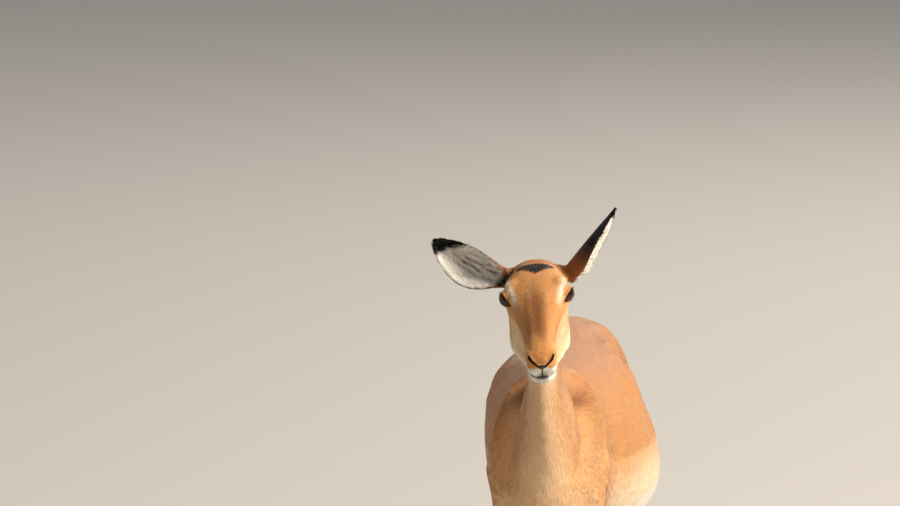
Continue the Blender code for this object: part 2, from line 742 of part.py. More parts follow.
if __name__ == "__main__":
    main()
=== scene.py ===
"""Looks of a life-size impala ewe: one skin over all the flesh, a coat of hair tufts, eyes and hooves.

Metres, +Z up. The animal faces -Y and its left side is +X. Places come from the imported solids. The head
has a frame of its own: the poll at its origin, the nose towards -Y and the crown towards +Z.
"""

import math

import bmesh
import bpy
import numpy as np
from mathutils import Matrix, Vector
from mathutils.bvhtree import BVHTree


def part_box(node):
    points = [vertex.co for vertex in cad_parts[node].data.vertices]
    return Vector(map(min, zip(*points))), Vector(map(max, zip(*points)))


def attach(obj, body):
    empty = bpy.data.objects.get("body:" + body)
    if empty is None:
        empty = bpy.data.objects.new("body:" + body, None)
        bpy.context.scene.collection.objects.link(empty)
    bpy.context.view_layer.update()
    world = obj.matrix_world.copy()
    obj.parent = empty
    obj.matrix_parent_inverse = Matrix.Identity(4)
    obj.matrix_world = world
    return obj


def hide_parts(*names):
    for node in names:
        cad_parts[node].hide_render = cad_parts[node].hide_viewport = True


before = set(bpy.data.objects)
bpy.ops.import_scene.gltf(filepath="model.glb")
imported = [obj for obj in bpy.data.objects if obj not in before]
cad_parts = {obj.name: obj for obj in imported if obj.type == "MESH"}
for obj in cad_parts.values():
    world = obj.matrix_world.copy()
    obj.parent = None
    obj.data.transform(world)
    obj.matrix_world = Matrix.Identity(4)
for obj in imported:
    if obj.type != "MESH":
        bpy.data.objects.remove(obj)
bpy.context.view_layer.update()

FLESH = (
    "head", "neck", "trunk", "tail", "leg_front_left", "leg_front_right", "leg_hind_left",
    "leg_hind_right", "ear_left", "ear_right",
)
EYES = ("eye_left", "eye_right")
SIDES = {"left": 1.0, "right": -1.0}

# How the head is held, as in the solids
HEAD_YAW, HEAD_ROLL, HEAD_PITCH = (math.radians(a) for a in (5.0, -4.5, 20.5))
EYE_PLACE = np.array((0.0470, -0.0990, 0.0180))  # left eye's centre in the head's frame
EYE_RADIUS = 0.0185

# Ears, as in the solids
EAR_ROOT = np.array((0.045, -0.012, 0.010))  # left ear's, in the head's frame
EAR_LENGTH = 0.154
EAR_BOW = 0.010
EAR_HOLLOW = 0.030  # from the rib to the middle of the cup
EAR_SET = {
    # the way from root to tip, and the way that the cup faces
    "left": ((0.63, 0.05, 0.77), (0.75, -0.15, -0.58)),
    "right": ((-0.91, 0.04, 0.41), (0.10, -1.0, -0.10)),
}


# ---------------------------------------------------------------- small tools

def select(*objects):
    if bpy.context.object and bpy.context.object.mode != "OBJECT":
        bpy.ops.object.mode_set(mode="OBJECT")
    bpy.ops.object.select_all(action="DESELECT")
    for obj in objects:
        obj.select_set(True)
    bpy.context.view_layer.objects.active = objects[0]


def new_object(name, mesh):
    obj = bpy.data.objects.new(name, mesh)
    bpy.context.collection.objects.link(obj)
    return obj


def apply(obj, kind, **settings):
    """Adds a modifier and applies it at once."""
    select(obj)
    modifier = obj.modifiers.new(kind.lower(), kind)
    for key, value in settings.items():
        setattr(modifier, key, value)
    bpy.ops.object.modifier_apply(modifier=modifier.name)


def in_edit_mode(operator, **settings):
    """Runs a mesh operator on all of the active object's mesh."""
    bpy.ops.object.mode_set(mode="EDIT")
    bpy.ops.mesh.select_all(action="SELECT")
    operator(**settings)
    bpy.ops.object.mode_set(mode="OBJECT")


def shade_smooth(mesh):
    mesh.polygons.foreach_set("use_smooth", np.ones(len(mesh.polygons), bool))


def numbers(items, key, width=1, kind=np.float32):
    out = np.empty(len(items) * width, kind)
    items.foreach_get(key, out)
    return out.reshape(-1, width) if width > 1 else out


def unit(vectors):
    return vectors / np.maximum(np.linalg.norm(vectors, axis=-1, keepdims=True), 1e-12)


def smooth(low, high, value):
    t = np.clip((value - low) / (high - low), 0.0, 1.0)
    return t * t * (3 - 2 * t)


def hump(value, width):
    """1 where the value is 0, fading out on both sides past the width."""
    return np.exp(-((value / width) ** 2))


def bump(points, centre, radii):
    """1 at the centre, fading to 0 past the radii."""
    return np.exp(-np.sum(((points - np.array(centre)) / np.array(radii)) ** 2, axis=-1))


def dot(a, b):
    return np.sum(a * b, axis=-1)


def place(matrix, points):
    """Points, or one point, carried by a 4x4 matrix."""
    m = np.array(matrix)
    return np.asarray(points) @ m[:3, :3].T + m[:3, 3]


def path_distance(points, path):
    """How far each point is from a path of straight runs, and how far along the path, from 0 to 1."""
    path = np.array(path, float)
    runs = np.linalg.norm(np.diff(path, axis=0), axis=1)
    starts = np.concatenate([[0.0], np.cumsum(runs)])
    best = np.full(len(points), 1e9)
    along = np.zeros(len(points))
    for i, (a, b) in enumerate(zip(path, path[1:])):
        t = np.clip((points - a) @ (b - a) / max(runs[i] ** 2, 1e-12), 0, 1)
        gap = np.linalg.norm(points - (a + t[:, None] * (b - a)), axis=1)
        closer = gap < best
        best[closer] = gap[closer]
        along[closer] = ((starts[i] + t * runs[i]) / starts[-1])[closer]
    return best, along


def stripe(points, path, radius):
    """1 on a path, fading out past the radius."""
    gap, _ = path_distance(points, path)
    return hump(gap, radius)


def rgb(red, green, blue):
    """A colour named as it looks on a screen, in linear light."""
    c = np.array((red, green, blue)) / 255.0
    return np.where(c <= 0.04045, c / 12.92, ((c + 0.055) / 1.055) ** 2.4)


def middle(node):
    low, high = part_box(node)
    return np.array((low + high) / 2)


def in_box(points, node, margin):
    """Whether each point lies in a solid's box, or within the margin of it."""
    low, high = (np.array(v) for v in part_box(node))
    return np.all((points > low - margin) & (points < high + margin), axis=1)


EYE_POINT = (middle("eye_left") + middle("eye_right")) / 2
HEAD = (
    Matrix.Translation(Vector(EYE_POINT))
    @ Matrix.Rotation(HEAD_YAW, 4, "Z")
    @ Matrix.Rotation(HEAD_ROLL, 4, "Y")
    @ Matrix.Rotation(HEAD_PITCH, 4, "X")
    @ Matrix.Translation((0.0, -EYE_PLACE[1], -EYE_PLACE[2]))
)
TO_HEAD = HEAD.inverted()
HEAD_TURN = np.array(HEAD.to_3x3())

# Where the head meets the neck, and the neck the trunk: a place, and the way that the part beyond it goes
THROAT = (np.array((0, -0.3552, 0.955)), unit(np.array((0, -0.400, 0.917))))
NECK_ROOT = (np.array((0, -0.2202, 0.790)), unit(np.array((0, -0.676, 0.737))))


def beyond(points, joint):
    """How far each point lies past such a place."""
    spot, way = joint
    return (points - spot) @ way


# ---------------------------------------------------------------- the skin

class Surface:
    """A triangle mesh's points, faces, normals and edges as arrays."""

    def __init__(self, mesh):
        self.points = numbers(mesh.vertices, "co", 3).astype(float)
        mesh.calc_loop_triangles()
        self.faces = numbers(mesh.loop_triangles, "vertices", 3, np.int32)
        self.edges = numbers(mesh.edges, "vertices", 2, np.int32)
        self.share = np.bincount(self.edges.ravel(), minlength=len(self.points))
        self.find_normals()

    def find_normals(self):
        a, b, c = (self.points[self.faces[:, k]] for k in range(3))
        cross = np.cross(b - a, c - a)
        total = np.zeros_like(self.points)
        for k in range(3):
            for axis in range(3):
                total[:, axis] += np.bincount(self.faces[:, k], cross[:, axis], len(self.points))
        self.areas = np.linalg.norm(cross, axis=1) / 2
        self.normals = unit(total)

    def neighbours(self, values):
        """Each point's mean over its neighbours."""
        first, second = self.edges.T
        flat = values.reshape(len(values), -1)
        count = len(flat)
        sums = [
            np.bincount(first, column[second], count) + np.bincount(second, column[first], count)
            for column in flat.T
        ]
        return (np.stack(sums, axis=1) / np.maximum(self.share, 1)[:, None]).reshape(values.shape)

    def relax(self, rounds, weight=1.0, keep_size=True):
        """Evens the surface out; keep_size pushes back after each round, so that it doesn't shrink."""
        weight = np.broadcast_to(weight, (len(self.points),))[:, None]
        for _ in range(rounds):
            for ease in (0.50, -0.53) if keep_size else (0.50,):
                self.points = self.points + ease * weight * (self.neighbours(self.points) - self.points)
        self.find_normals()

    def swell(self, before, rounds, weight=1.0):
        """Gives back, evenly, the height lost since the points were where they were before."""
        lost = dot(before - self.points, self.normals)
        for _ in range(rounds):
            lost = self.neighbours(lost)
        self.points += self.normals * (lost * weight)[:, None]
        self.find_normals()

    def write(self, mesh):
        mesh.vertices.foreach_set("co", self.points.astype(np.float32).ravel())
        mesh.update()


SKIN_VOXEL = 0.0028
BODY_KEPT = 0.20  # share of the body's triangles that thinning leaves


def fused_flesh():
    """The flesh solids and the eyeballs, merged into one closed surface."""
    copies = [new_object("impala_skin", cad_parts[name].data.copy()) for name in (*FLESH, *EYES)]
    select(*copies)
    bpy.ops.object.join()
    skin = bpy.context.object
    in_edit_mode(bpy.ops.mesh.remove_doubles, threshold=0.00002)
    apply(skin, "REMESH", mode="VOXEL", voxel_size=SKIN_VOXEL, adaptivity=0.0)
    # the thin gaps between the solids leave small bubbles inside, which go
    in_edit_mode(bpy.ops.mesh.separate, type="LOOSE")
    bits = [o for o in bpy.context.selected_objects if o.name.startswith("impala_skin")]
    bits.sort(key=lambda o: len(o.data.vertices))
    skin = bits.pop()
    for bit in bits:
        bpy.data.objects.remove(bit)
    skin.name = "impala_skin"
    return skin


def ear_frame(side_name):
    """An ear's root, its unit ways along, open and across, in the animal's frame."""
    side = SIDES[side_name]
    root = place(HEAD, EAR_ROOT * (side, 1, 1))
    along, opening = (np.array(v, float) for v in EAR_SET[side_name])
    along = unit(along)
    opening = unit(opening - along * along.dot(opening))
    across = np.cross(along, opening)
    if across.dot(HEAD_TURN @ np.array((side, 0, 0.5))) < 0:
        across = -across
    return root, along, opening, across


EARS = {name: ear_frame(name) for name in SIDES}


def ear_weight(points, side_name):
    """1 on an ear and 0 on the head, by which solid is nearer."""
    trees = []
    for name in (f"ear_{side_name}", "head"):
        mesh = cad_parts[name].data
        corners, sides = [v.co for v in mesh.vertices], [p.vertices for p in mesh.polygons]
        trees.append(BVHTree.FromPolygons(corners, sides))
    weight = np.zeros(len(points))
    for i in np.flatnonzero(in_box(points, f"ear_{side_name}", 0.01)):
        to_ear, to_head = (tree.find_nearest(Vector(points[i]))[3] for tree in trees)
        weight[i] = 1.0 if to_ear < to_head else 0.0
    return weight


def head_weight(points):
    """1 past the throat, on the head's side, fading to 0 on the neck."""
    return smooth(-0.012, 0.018, beyond(points, THROAT))


def thin_out(skin):
    """Fewer, larger triangles on the body; the head and ears keep theirs."""
    surface = Surface(skin.data)
    fine = np.maximum(head_weight(surface.points), ear_boxes(surface.points))
    group = skin.vertex_groups.new(name="coarse")
    for level in range(1, 11):
        members = np.flatnonzero(np.round((1 - fine) * 10) == level)
        group.add(members.tolist(), level / 10, "REPLACE")
    apply(
        skin, "DECIMATE", ratio=BODY_KEPT, vertex_group="coarse", vertex_group_factor=1.0,
        use_collapse_triangulate=False,
    )


def ear_boxes(points):
    return (in_box(points, "ear_left", 0.005) | in_box(points, "ear_right", 0.005)).astype(float)


def refine(skin, wanted):
    """Cuts each edge whose both ends are wanted in two."""
    bm = bmesh.new()
    bm.from_mesh(skin.data)
    edges = [e for e in bm.edges if wanted[e.verts[0].index] and wanted[e.verts[1].index]]
    bmesh.ops.subdivide_edges(bm, edges=edges, cuts=1, use_grid_fill=True)
    loose = [f for f in bm.faces if len(f.verts) > 3]
    bmesh.ops.triangulate(bm, faces=loose)
    bm.to_mesh(skin.data)
    bm.free()


def head_points(points):
    """Points in the head's own frame, and the same with the right half folded onto the left."""
    own = place(TO_HEAD, points)
    folded = own.copy()
    folded[:, 0] = np.abs(folded[:, 0])
    return own, folded


# ---------------------------------------------------------------- eyes and lids

EYE_OUT = unit(np.array((0.81, -0.56, 0.17)))  # the way the left eye looks, in the head's frame
EYE_ALONG = np.array((-0.30, -0.86, -0.31))  # roughly towards its inner corner
EYE_ALONG = unit(EYE_ALONG - EYE_OUT * EYE_ALONG.dot(EYE_OUT))
EYE_UP = np.cross(EYE_OUT, EYE_ALONG)
EYE_UP = EYE_UP * np.sign(EYE_UP[2])
INNER_CORNER = math.radians(56)
OUTER_CORNER = math.radians(45)
UPPER_OPEN = math.radians(23)
LOWER_OPEN = math.radians(19)
LID_EDGE = 0.0011  # how thick the lid's margin is
LID_GAP = 0.0004  # between the lid and the ball
EYE_SINK = 0.0022  # how deep in the ball the skin lies across the opening


def eye_view(folded):
    """Where folded head points lie round the eye.

    Gives the distance from its centre, the angle out from the lids' edge (below 0 in the opening), the
    angle over its level line, and the angle along it towards the inner corner.
    """
    ray = folded - EYE_PLACE
    distance = np.linalg.norm(ray, axis=1)
    ahead, level, rise = ray @ EYE_OUT, ray @ EYE_ALONG, ray @ EYE_UP
    turn = np.arctan2(level, ahead)
    lift = np.arctan2(rise, np.hypot(ahead, level))
    length = np.where(turn > 0, INNER_CORNER, OUTER_CORNER)
    inside = np.clip(1 - (np.abs(turn) / length) ** 2, 0, 1)
    power = np.where(turn > 0, 0.85, 0.60)
    height = np.where(lift > 0, UPPER_OPEN, LOWER_OPEN) * inside ** power
    over = np.abs(lift) - height
    past = np.maximum(np.abs(turn) - length, 0)
    edge = np.where(past > 0, np.hypot(past, lift), over)
    return distance, edge, lift, turn


def shape_eyes(surface):
    own, folded = head_points(surface.points)
    index = np.flatnonzero(np.linalg.norm(folded - EYE_PLACE, axis=1) < 0.040)
    distance, edge, lift, _ = eye_view(folded[index])
    ray = unit(folded[index] - EYE_PLACE)
    facing = smooth(-0.1, 0.25, ray @ EYE_OUT)
    lid = EYE_RADIUS + LID_EDGE * (1 - smooth(0.10, 0.50, edge)) + LID_GAP
    # near the opening the skin comes down to the ball, and further out it keeps its own height
    wanted = lid + (np.maximum(distance, lid) - lid) * smooth(0.03, 0.45, edge)
    # the fold over the upper lid, and a fainter one below
    fold = hump(edge - 0.30, 0.07) * (lift > 0) * 0.0013
    fold += hump(edge - 0.34, 0.07) * (lift <= 0) * 0.0007
    swell = hump(edge - 0.13, 0.12) * 0.0006
    wanted = np.maximum(wanted + (swell - fold) * facing, EYE_RADIUS + LID_GAP)
    # behind the opening it sinks into the ball
    wanted = np.where((edge < 0) & (ray @ EYE_OUT > 0), EYE_RADIUS - EYE_SINK, wanted)
    moved = EYE_PLACE + ray * wanted[:, None]
    moved[:, 0] *= np.where(own[index, 0] < 0, -1, 1)
    surface.points[index] = place(HEAD, moved)
    surface.find_normals()


# ---------------------------------------------------------------- folds and forms

MOUTH_LEVEL = -0.0475
MOUTH_BACK = -0.196
# Strokes are ridges (height above 0) or grooves along paths, in metres: path, radius, height
HEAD_FORMS = (
    # bones of the nose, with the flat between them
    (((0.0150, -0.130, 0.034), (0.0130, -0.190, 0.021), (0.0125, -0.245, 0.008)), 0.0055, 0.0010),
    (((0.0, -0.150, 0.036), (0.0, -0.235, 0.014)), 0.0050, -0.0006),
    # hollow before the eye, and the crest under it
    (((0.0430, -0.132, 0.004), (0.0390, -0.150, 0.000)), 0.0085, -0.0022),
    (((0.0520, -0.108, -0.016), (0.0440, -0.145, -0.022), (0.0340, -0.185, -0.022)), 0.0065, 0.0016),
    (((0.0420, -0.160, -0.040), (0.0350, -0.195, -0.034)), 0.0110, -0.0012),
    # brow
    (((0.0440, -0.124, 0.031), (0.0520, -0.100, 0.040), (0.0540, -0.076, 0.036)), 0.0070, 0.0016),
    # hollow of the temple, and the frontal bumps
    (((0.0500, -0.052, 0.026), (0.0460, -0.034, 0.030)), 0.0100, -0.0020),
    (((0.0220, -0.050, 0.046), (0.0200, -0.030, 0.046)), 0.0110, 0.0014),
    # edge of the cheek muscle, and the jaw's angle
    (((0.0560, -0.070, -0.020), (0.0540, -0.105, -0.050), (0.0470, -0.125, -0.075)), 0.0090, 0.0012),
    (((0.0480, -0.140, -0.050), (0.0420, -0.150, -0.075)), 0.0080, -0.0014),
    # wings of the nostrils
    (((0.0250, -0.2570, 0.0010), (0.0215, -0.2690, -0.0015), (0.0140, -0.2785, -0.0090)), 0.0030, 0.0013),
    (((0.0250, -0.2590, -0.0120), (0.0150, -0.2765, -0.0230)), 0.0034, 0.0007),
    # the lips' rolls, and the chin
    (((0.0, -0.2830, -0.0420), (0.0180, -0.2740, -0.0425), (0.0290, -0.2400, -0.0410)), 0.0030, 0.0005),
)
NOSTRIL = (
    (0.0208, -0.2660, -0.0030), (0.0182, -0.2720, -0.0078), (0.0138, -0.2780, -0.0125),
    (0.0088, -0.2820, -0.0170), (0.0040, -0.2840, -0.0205),
)
# bare skin between the nostrils: height, and half its width
PAD = ((-0.0275, 0.0004), (-0.0250, 0.0022), (-0.0215, 0.0080), (-0.0180, 0.0095), (-0.0150, 0.0))


MOUTH_DEPTH = 0.0020
GROOVE_DEPTH = 0.0012
NOSTRIL_DEPTH = 0.0055


def mouth_level(y):
    return MOUTH_LEVEL + 0.0050 * smooth(-0.262, MOUTH_BACK, y)


def nostril_gap(folded, path):
    """How deep in a nostril each point lies, above 0 inside: widest nearer its outer end."""
    gap, along = path_distance(folded, path)
    return 0.0010 + 0.0015 * hump(along - 0.36, 0.30) - gap


def nose_pad(folded):
    """How far inside the nose's bare pad each point lies."""
    x, y, z = folded.T
    return np.where(y < -0.270, np.interp(z, *np.array(PAD).T, left=-0.01, right=-0.01) - x, -0.01)


def mouth_line(folded, half):
    """1 on the line of the mouth, half being half its width."""
    _, y, z = folded.T
    return hump(z - mouth_level(y), half) * smooth(MOUTH_BACK, MOUTH_BACK - 0.02, y)


def lip_groove(folded, edge):
    """1 in the groove from the nose to the lip, and 0 out at the edge."""
    x, y, z = folded.T
    across = smooth(edge, 0.0008, x) * smooth(-0.265, -0.272, y)
    return across * smooth(-0.050, -0.046, z) * smooth(-0.022, -0.025, z)


def settled(path, points, step=0.004, weights=(1, 1, 1)):
    """A path cut into short runs, each end drawn onto the nearest of the points.

    A small weight lets the ends move freely along that axis.
    """
    path = np.array(path, float)
    fine = [path[0]]
    for a, b in zip(path, path[1:]):
        count = max(int(np.ceil(np.linalg.norm(b - a) / step)), 1)
        fine += [a + (b - a) * k / count for k in range(1, count + 1)]
    weights = np.array(weights, float)
    made = np.array([points[np.argmin(np.sum(((points - spot) * weights) ** 2, axis=1))] for spot in fine])
    for _ in range(3):
        made[1:-1] = (made[:-2] + 2 * made[1:-1] + made[2:]) / 4
    return made


def shape_head(surface):
    own, folded = head_points(surface.points)
    index = np.flatnonzero((own[:, 1] < 0.05) & (head_weight(surface.points) > 0.2))
    points = folded[index]
    x, y, z = points.T
    lift = np.zeros(len(index))
    for path, radius, height in HEAD_FORMS:
        lift += height * stripe(points, settled(path, points), radius)
    # the line of the mouth, shallower beside the middle of the lips
    split = hump(z - mouth_level(y), 0.0013)
    corner = smooth(-0.262, -0.274, y) * smooth(0.006, 0.013, x)
    along = smooth(MOUTH_BACK + 0.004, MOUTH_BACK - 0.010, y)
    lift -= MOUTH_DEPTH * split * along * (1 - 0.55 * corner)
    # the groove from the nose to the lip
    groove = hump(x, 0.0010) * smooth(-0.255, -0.265, y)
    lift -= GROOVE_DEPTH * groove * smooth(MOUTH_LEVEL, -0.043, z) * smooth(-0.019, -0.025, z)
    # the nostrils open inwards
    slit = settled(NOSTRIL, points, weights=(1, 0.3, 1))
    lift -= NOSTRIL_DEPTH * smooth(-0.0008, 0.0020, nostril_gap(points, slit))
    surface.points[index] += surface.normals[index] * lift[:, None]
    surface.find_normals()
    return slit


# Landmarks on the body, left side, as strokes on both sides
BODY_FORMS = (
    # spine of the shoulder blade, its rear edge, and the point of the shoulder
    (((0.040, -0.080, 0.838), (0.068, -0.088, 0.806), (0.087, -0.112, 0.762), (0.098, -0.137, 0.735),
      (0.107, -0.155, 0.690), (0.112, -0.155, 0.620)), 0.019, 0.0085),
    (((0.080, 0.005, 0.780), (0.115, -0.005, 0.700), (0.125, -0.035, 0.620)), 0.032, -0.0042),
    # furrow between the neck and the shoulder
    (((0.052, -0.125, 0.812), (0.062, -0.155, 0.770), (0.068, -0.190, 0.720), (0.072, -0.210, 0.650)),
     0.025, -0.0075),
    # muscle over the elbow
    (((0.115, -0.075, 0.690), (0.110, -0.085, 0.600), (0.100, -0.080, 0.540)), 0.026, 0.0030),
    # the flank's fold to the stifle, and the fullness before the hip
    (((0.130, 0.300, 0.700), (0.125, 0.345, 0.620), (0.110, 0.365, 0.550)), 0.024, 0.0035),
    (((0.112, 0.310, 0.785), (0.126, 0.230, 0.775), (0.124, 0.160, 0.770)), 0.045, 0.0105),
    # hip, pin bone, and the groove between the thigh's muscles
    (((0.060, 0.330, 0.825), (0.090, 0.335, 0.805)), 0.060, 0.0115),
    (((0.040, 0.560, 0.760), (0.042, 0.565, 0.745)), 0.024, 0.0030),
    (((0.110, 0.520, 0.720), (0.115, 0.500, 0.640), (0.100, 0.500, 0.560)), 0.024, -0.0030),
    # groove of the neck's vein, and the muscle over it
    (((0.030, -0.335, 0.930), (0.034, -0.290, 0.860), (0.045, -0.235, 0.790), (0.040, -0.215, 0.720)),
     0.018, -0.0026),
    (((0.036, -0.300, 0.960), (0.040, -0.250, 0.890), (0.055, -0.180, 0.810)), 0.018, 0.0022),
    # tendons down the cannons
    (((0.072, -0.106, 0.240), (0.070, -0.104, 0.120)), 0.0045, -0.0012),
    (((0.088, 0.578, 0.270), (0.086, 0.570, 0.120)), 0.0045, -0.0012),
)
PIT = (0.048, -0.128, 0.811)  # the deep hollow before the shoulder blade
PIT_RADIUS = 0.020
PIT_DEPTH = 0.020
RIBS = 9
RIB_GAP = 0.034
FIRST_RIB = 0.040
RIB_HEIGHT = 0.0006
RIB_SLOPE = 0.35


def shape_body(surface):
    points = surface.points
    folded = points.copy()
    folded[:, 0] = np.abs(folded[:, 0])
    index = np.flatnonzero(head_weight(points) < 0.5)
    lift = np.zeros(len(index))
    for path, radius, height in BODY_FORMS:
        gap, along = path_distance(folded[index], settled(path, folded[index], 0.02))
        lift += height * hump(gap, radius) * smooth(-0.06, 0.20, along) * smooth(1.06, 0.80, along)
    lift -= PIT_DEPTH * bump(folded[index], PIT, (PIT_RADIUS,) * 3)
    # ribs, just felt through the coat, sloping back as they go down
    y = points[index, 1] + RIB_SLOPE * (points[index, 2] - 0.66)
    wave = np.cos(2 * math.pi * (y - FIRST_RIB) / RIB_GAP)
    field = smooth(FIRST_RIB - 0.03, FIRST_RIB + 0.03, y) * smooth(FIRST_RIB + RIBS * RIB_GAP, 0.25, y)
    field *= bump(points[index], (0, 0.17, 0.67), (1, 1, 0.075))
    lift += RIB_HEIGHT * wave * field
    surface.points[index] += surface.normals[index] * lift[:, None]
    surface.find_normals()


# ---------------------------------------------------------------- regions, depth and lie of the coat

def fields(points):
    """What each place on the skin belongs to, as weights from 0 to 1."""
    own, folded = head_points(points)
    head = head_weight(points)
    ears = {side: ear_weight(points, side) for side in SIDES}
    ear = ears["left"] + ears["right"]
    low_leg = 1 - smooth(0.40, 0.54, points[:, 2])
    foot = 1 - smooth(0.05, 0.13, points[:, 2])
    # the coat shortens by degrees towards the head
    nearly = smooth(-0.110, 0.040, beyond(points, THROAT))
    tail = in_box(points, "tail", 0.002) * smooth(0.595, 0.608, points[:, 1])
    return {
        "own": own, "folded": folded, "head": head * (1 - ear), "ears": ears, "ear": ear, "nearly": nearly,
        "leg": low_leg * (1 - tail), "foot": foot, "tail": tail,
    }


def by_region(found, body, **regions):
    """A value for each place on the skin: the body's, and then each region's over it in turn."""
    value = np.full(len(found["head"]), body)
    for region, wanted in regions.items():
        value = value + (wanted - value) * found[region]
    return value


def coat_depth(found):
    """How far the skin lies under the coat's tips."""
    depth = by_region(found, 0.0032, nearly=0.0012, leg=0.0015, foot=0.0010, ear=0.0009, tail=0.0040)
    muzzle = smooth(-0.20, -0.25, found["own"][:, 1]) * found["head"]
    return depth * (1 - 0.4 * muzzle)


def lanes():
    """Paths that the hair follows, each with its strength."""
    def on_head(*rows):
        return place(HEAD, np.array(rows))

    middle_lanes = [
        (on_head((0, -0.29, -0.030), (0, -0.20, -0.010), (0, -0.10, 0.020), (0, -0.02, 0.020)), 1.0),
        (on_head((0, -0.27, -0.060), (0, -0.16, -0.070), (0, -0.05, -0.060)), 1.0),
        (((0, -0.375, 1.060), (0, -0.345, 0.985), (0, -0.300, 0.900), (0, -0.235, 0.810)), 1.2),
        (((0, -0.325, 0.900), (0, -0.290, 0.830), (0, -0.240, 0.740), (0, -0.200, 0.640),
          (0, -0.140, 0.560)), 1.2),
        (((0, -0.235, 0.810), (0, -0.120, 0.815), (0, 0.050, 0.815), (0, 0.350, 0.815),
          (0, 0.540, 0.800)), 2.0),
        (((0, -0.100, 0.530), (0, 0.150, 0.500), (0, 0.330, 0.560)), 1.0),
        (((0, 0.585, 0.800), (0, 0.625, 0.760), (0, 0.640, 0.650), (0, 0.638, 0.510)), 0.25),
    ]
    side_lanes = [
        (((0.085, -0.100, 0.760), (0.100, -0.110, 0.680), (0.090, -0.080, 0.580),
          (0.075, -0.100, 0.480)), 0.8),
        (((0.140, 0.020, 0.700), (0.180, 0.200, 0.650), (0.140, 0.340, 0.660)), 1.0),
        (((0.090, 0.400, 0.770), (0.110, 0.470, 0.700), (0.110, 0.500, 0.600), (0.085, 0.470, 0.480)), 0.8),
        (((0.070, -0.110, 0.480), (0.062, -0.120, 0.300), (0.060, -0.120, 0.120),
          (0.060, -0.140, 0.020)), 0.5),
        (((0.082, 0.470, 0.520), (0.078, 0.550, 0.360), (0.074, 0.565, 0.200), (0.073, 0.550, 0.100),
          (0.073, 0.520, 0.020)), 0.5),
    ]
    mirrored = [(np.array(path) * (-1, 1, 1), strength) for path, strength in side_lanes]
    return [(np.array(path, float), strength) for path, strength in middle_lanes + side_lanes + mirrored]


LIE_ROUNDS = 60
SHARPEST = (-60, 40)  # the hollowest and the roundest bends that a tuft follows, to the metre


def lie(surface, found):
    """The way the hair lies at each place, along the skin."""
    points, normals = surface.points, surface.normals
    flow = np.zeros_like(points)
    for path, strength in lanes():
        for a, b in zip(path, path[1:]):
            run = b - a
            t = np.clip((points - a) @ run / (run @ run), 0, 1)
            gap = np.sum((points - (a + t[:, None] * run)) ** 2, axis=1)
            flow += strength * np.linalg.norm(run) * run / (gap[:, None] + 0.0006) ** 2
    flow = unit(flow)
    # where the lanes meet, the hair turns from one to the next by degrees
    eased = ((1 - found["head"]) * (1 - found["ear"]) * 0.8 + 0.15)[:, None]
    for _ in range(LIE_ROUNDS):
        flow = flow + eased * (surface.neighbours(flow) - flow)
        flow = unit(flow - normals * dot(flow, normals)[:, None])
    # hair parts round the eyes
    for side in SIDES.values():
        centre = place(HEAD, EYE_PLACE * (side, 1, 1))
        ray = points - centre
        flow += 1.1 * hump(np.linalg.norm(ray, axis=1), 0.028)[:, None] * unit(ray)
    for side_name, (_, along, _, _) in EARS.items():
        weight = found["ears"][side_name][:, None]
        flow = flow * (1 - weight) + along * weight
    return unit(flow - normals * dot(flow, normals)[:, None])


def bend(surface, flow):
    """How sharply the skin curves along the lie of the hair, above 0 where it bulges."""
    first, second = surface.edges.T
    run = surface.points[second] - surface.points[first]
    length2 = np.maximum(dot(run, run), 1e-12)
    turn = dot(surface.normals[second] - surface.normals[first], run) / length2
    total = np.zeros(len(surface.points))
    share = np.full(len(surface.points), 1e-9)
    for end in (first, second):
        along = dot(flow[end], run) ** 4 / length2 ** 2
        total += np.bincount(end, turn * along, len(total))
        share += np.bincount(end, along, len(total))
    curve = total / share
    for _ in range(6):
        curve = 0.5 * curve + 0.5 * surface.neighbours(curve)
    return np.clip(curve, *SHARPEST)


def build_skin():
    skin = fused_flesh()
    surface = Surface(skin.data)
    surface.relax(14)
    surface.write(skin.data)
    thin_out(skin)
    in_edit_mode(bpy.ops.mesh.quads_convert_to_tris)
    surface = Surface(skin.data)
    _, folded = head_points(surface.points)
    ear = ear_boxes(surface.points)
    head = head_weight(surface.points)
    surface.relax(30, (1 - head) * (1 - ear))
    # hollows where the muscles meet are softened on the trunk, and then it swells back as a whole
    trunk = (1 - head) * (1 - ear) * smooth(0.50, 0.60, surface.points[:, 2])
    trunk = trunk * (1 - smooth(0.585, 0.600, surface.points[:, 1]))
    before = surface.points.copy()
    surface.relax(24, trunk, keep_size=False)
    surface.relax(20, trunk)
    surface.swell(before, 30, trunk)
    # the cheeks are drawn smooth over the joints of the masses under them
    cheek = bump(folded, (0.048, -0.115, -0.035), (0.030, 0.075, 0.045)) * head * (1 - ear)
    surface.relax(26, np.clip(cheek * 1.6, 0, 1), keep_size=False)
    surface.relax(12, ear)
    surface.write(skin.data)
    for level in range(3):
        refine(skin, finer(surface.points, level))
        surface = Surface(skin.data)
        surface.relax(3, finer(surface.points, level).astype(float))
        surface.write(skin.data)
    surface = Surface(skin.data)
    found = fields(surface.points)
    surface.points -= surface.normals * coat_depth(found)[:, None]
    surface.find_normals()
    shape_body(surface)
    bulk = (1 - found["head"]) * (1 - found["ear"]) * (1 - found["leg"]) * (1 - found["tail"])
    surface.relax(8, bulk)
    found["slit"] = shape_head(surface)
    shape_eyes(surface)
    surface.relax(1, 0.5)
    surface.write(skin.data)
    return skin, surface, found


FINER = (  # distance from the eye, angles from the lids' edge, and how far forward on the muzzle
    (0.034, -9.0, 9.0, -0.205),
    (0.031, -9.0, 0.42, -0.252),
    (0.028, -0.12, 0.085, -9.0),
)


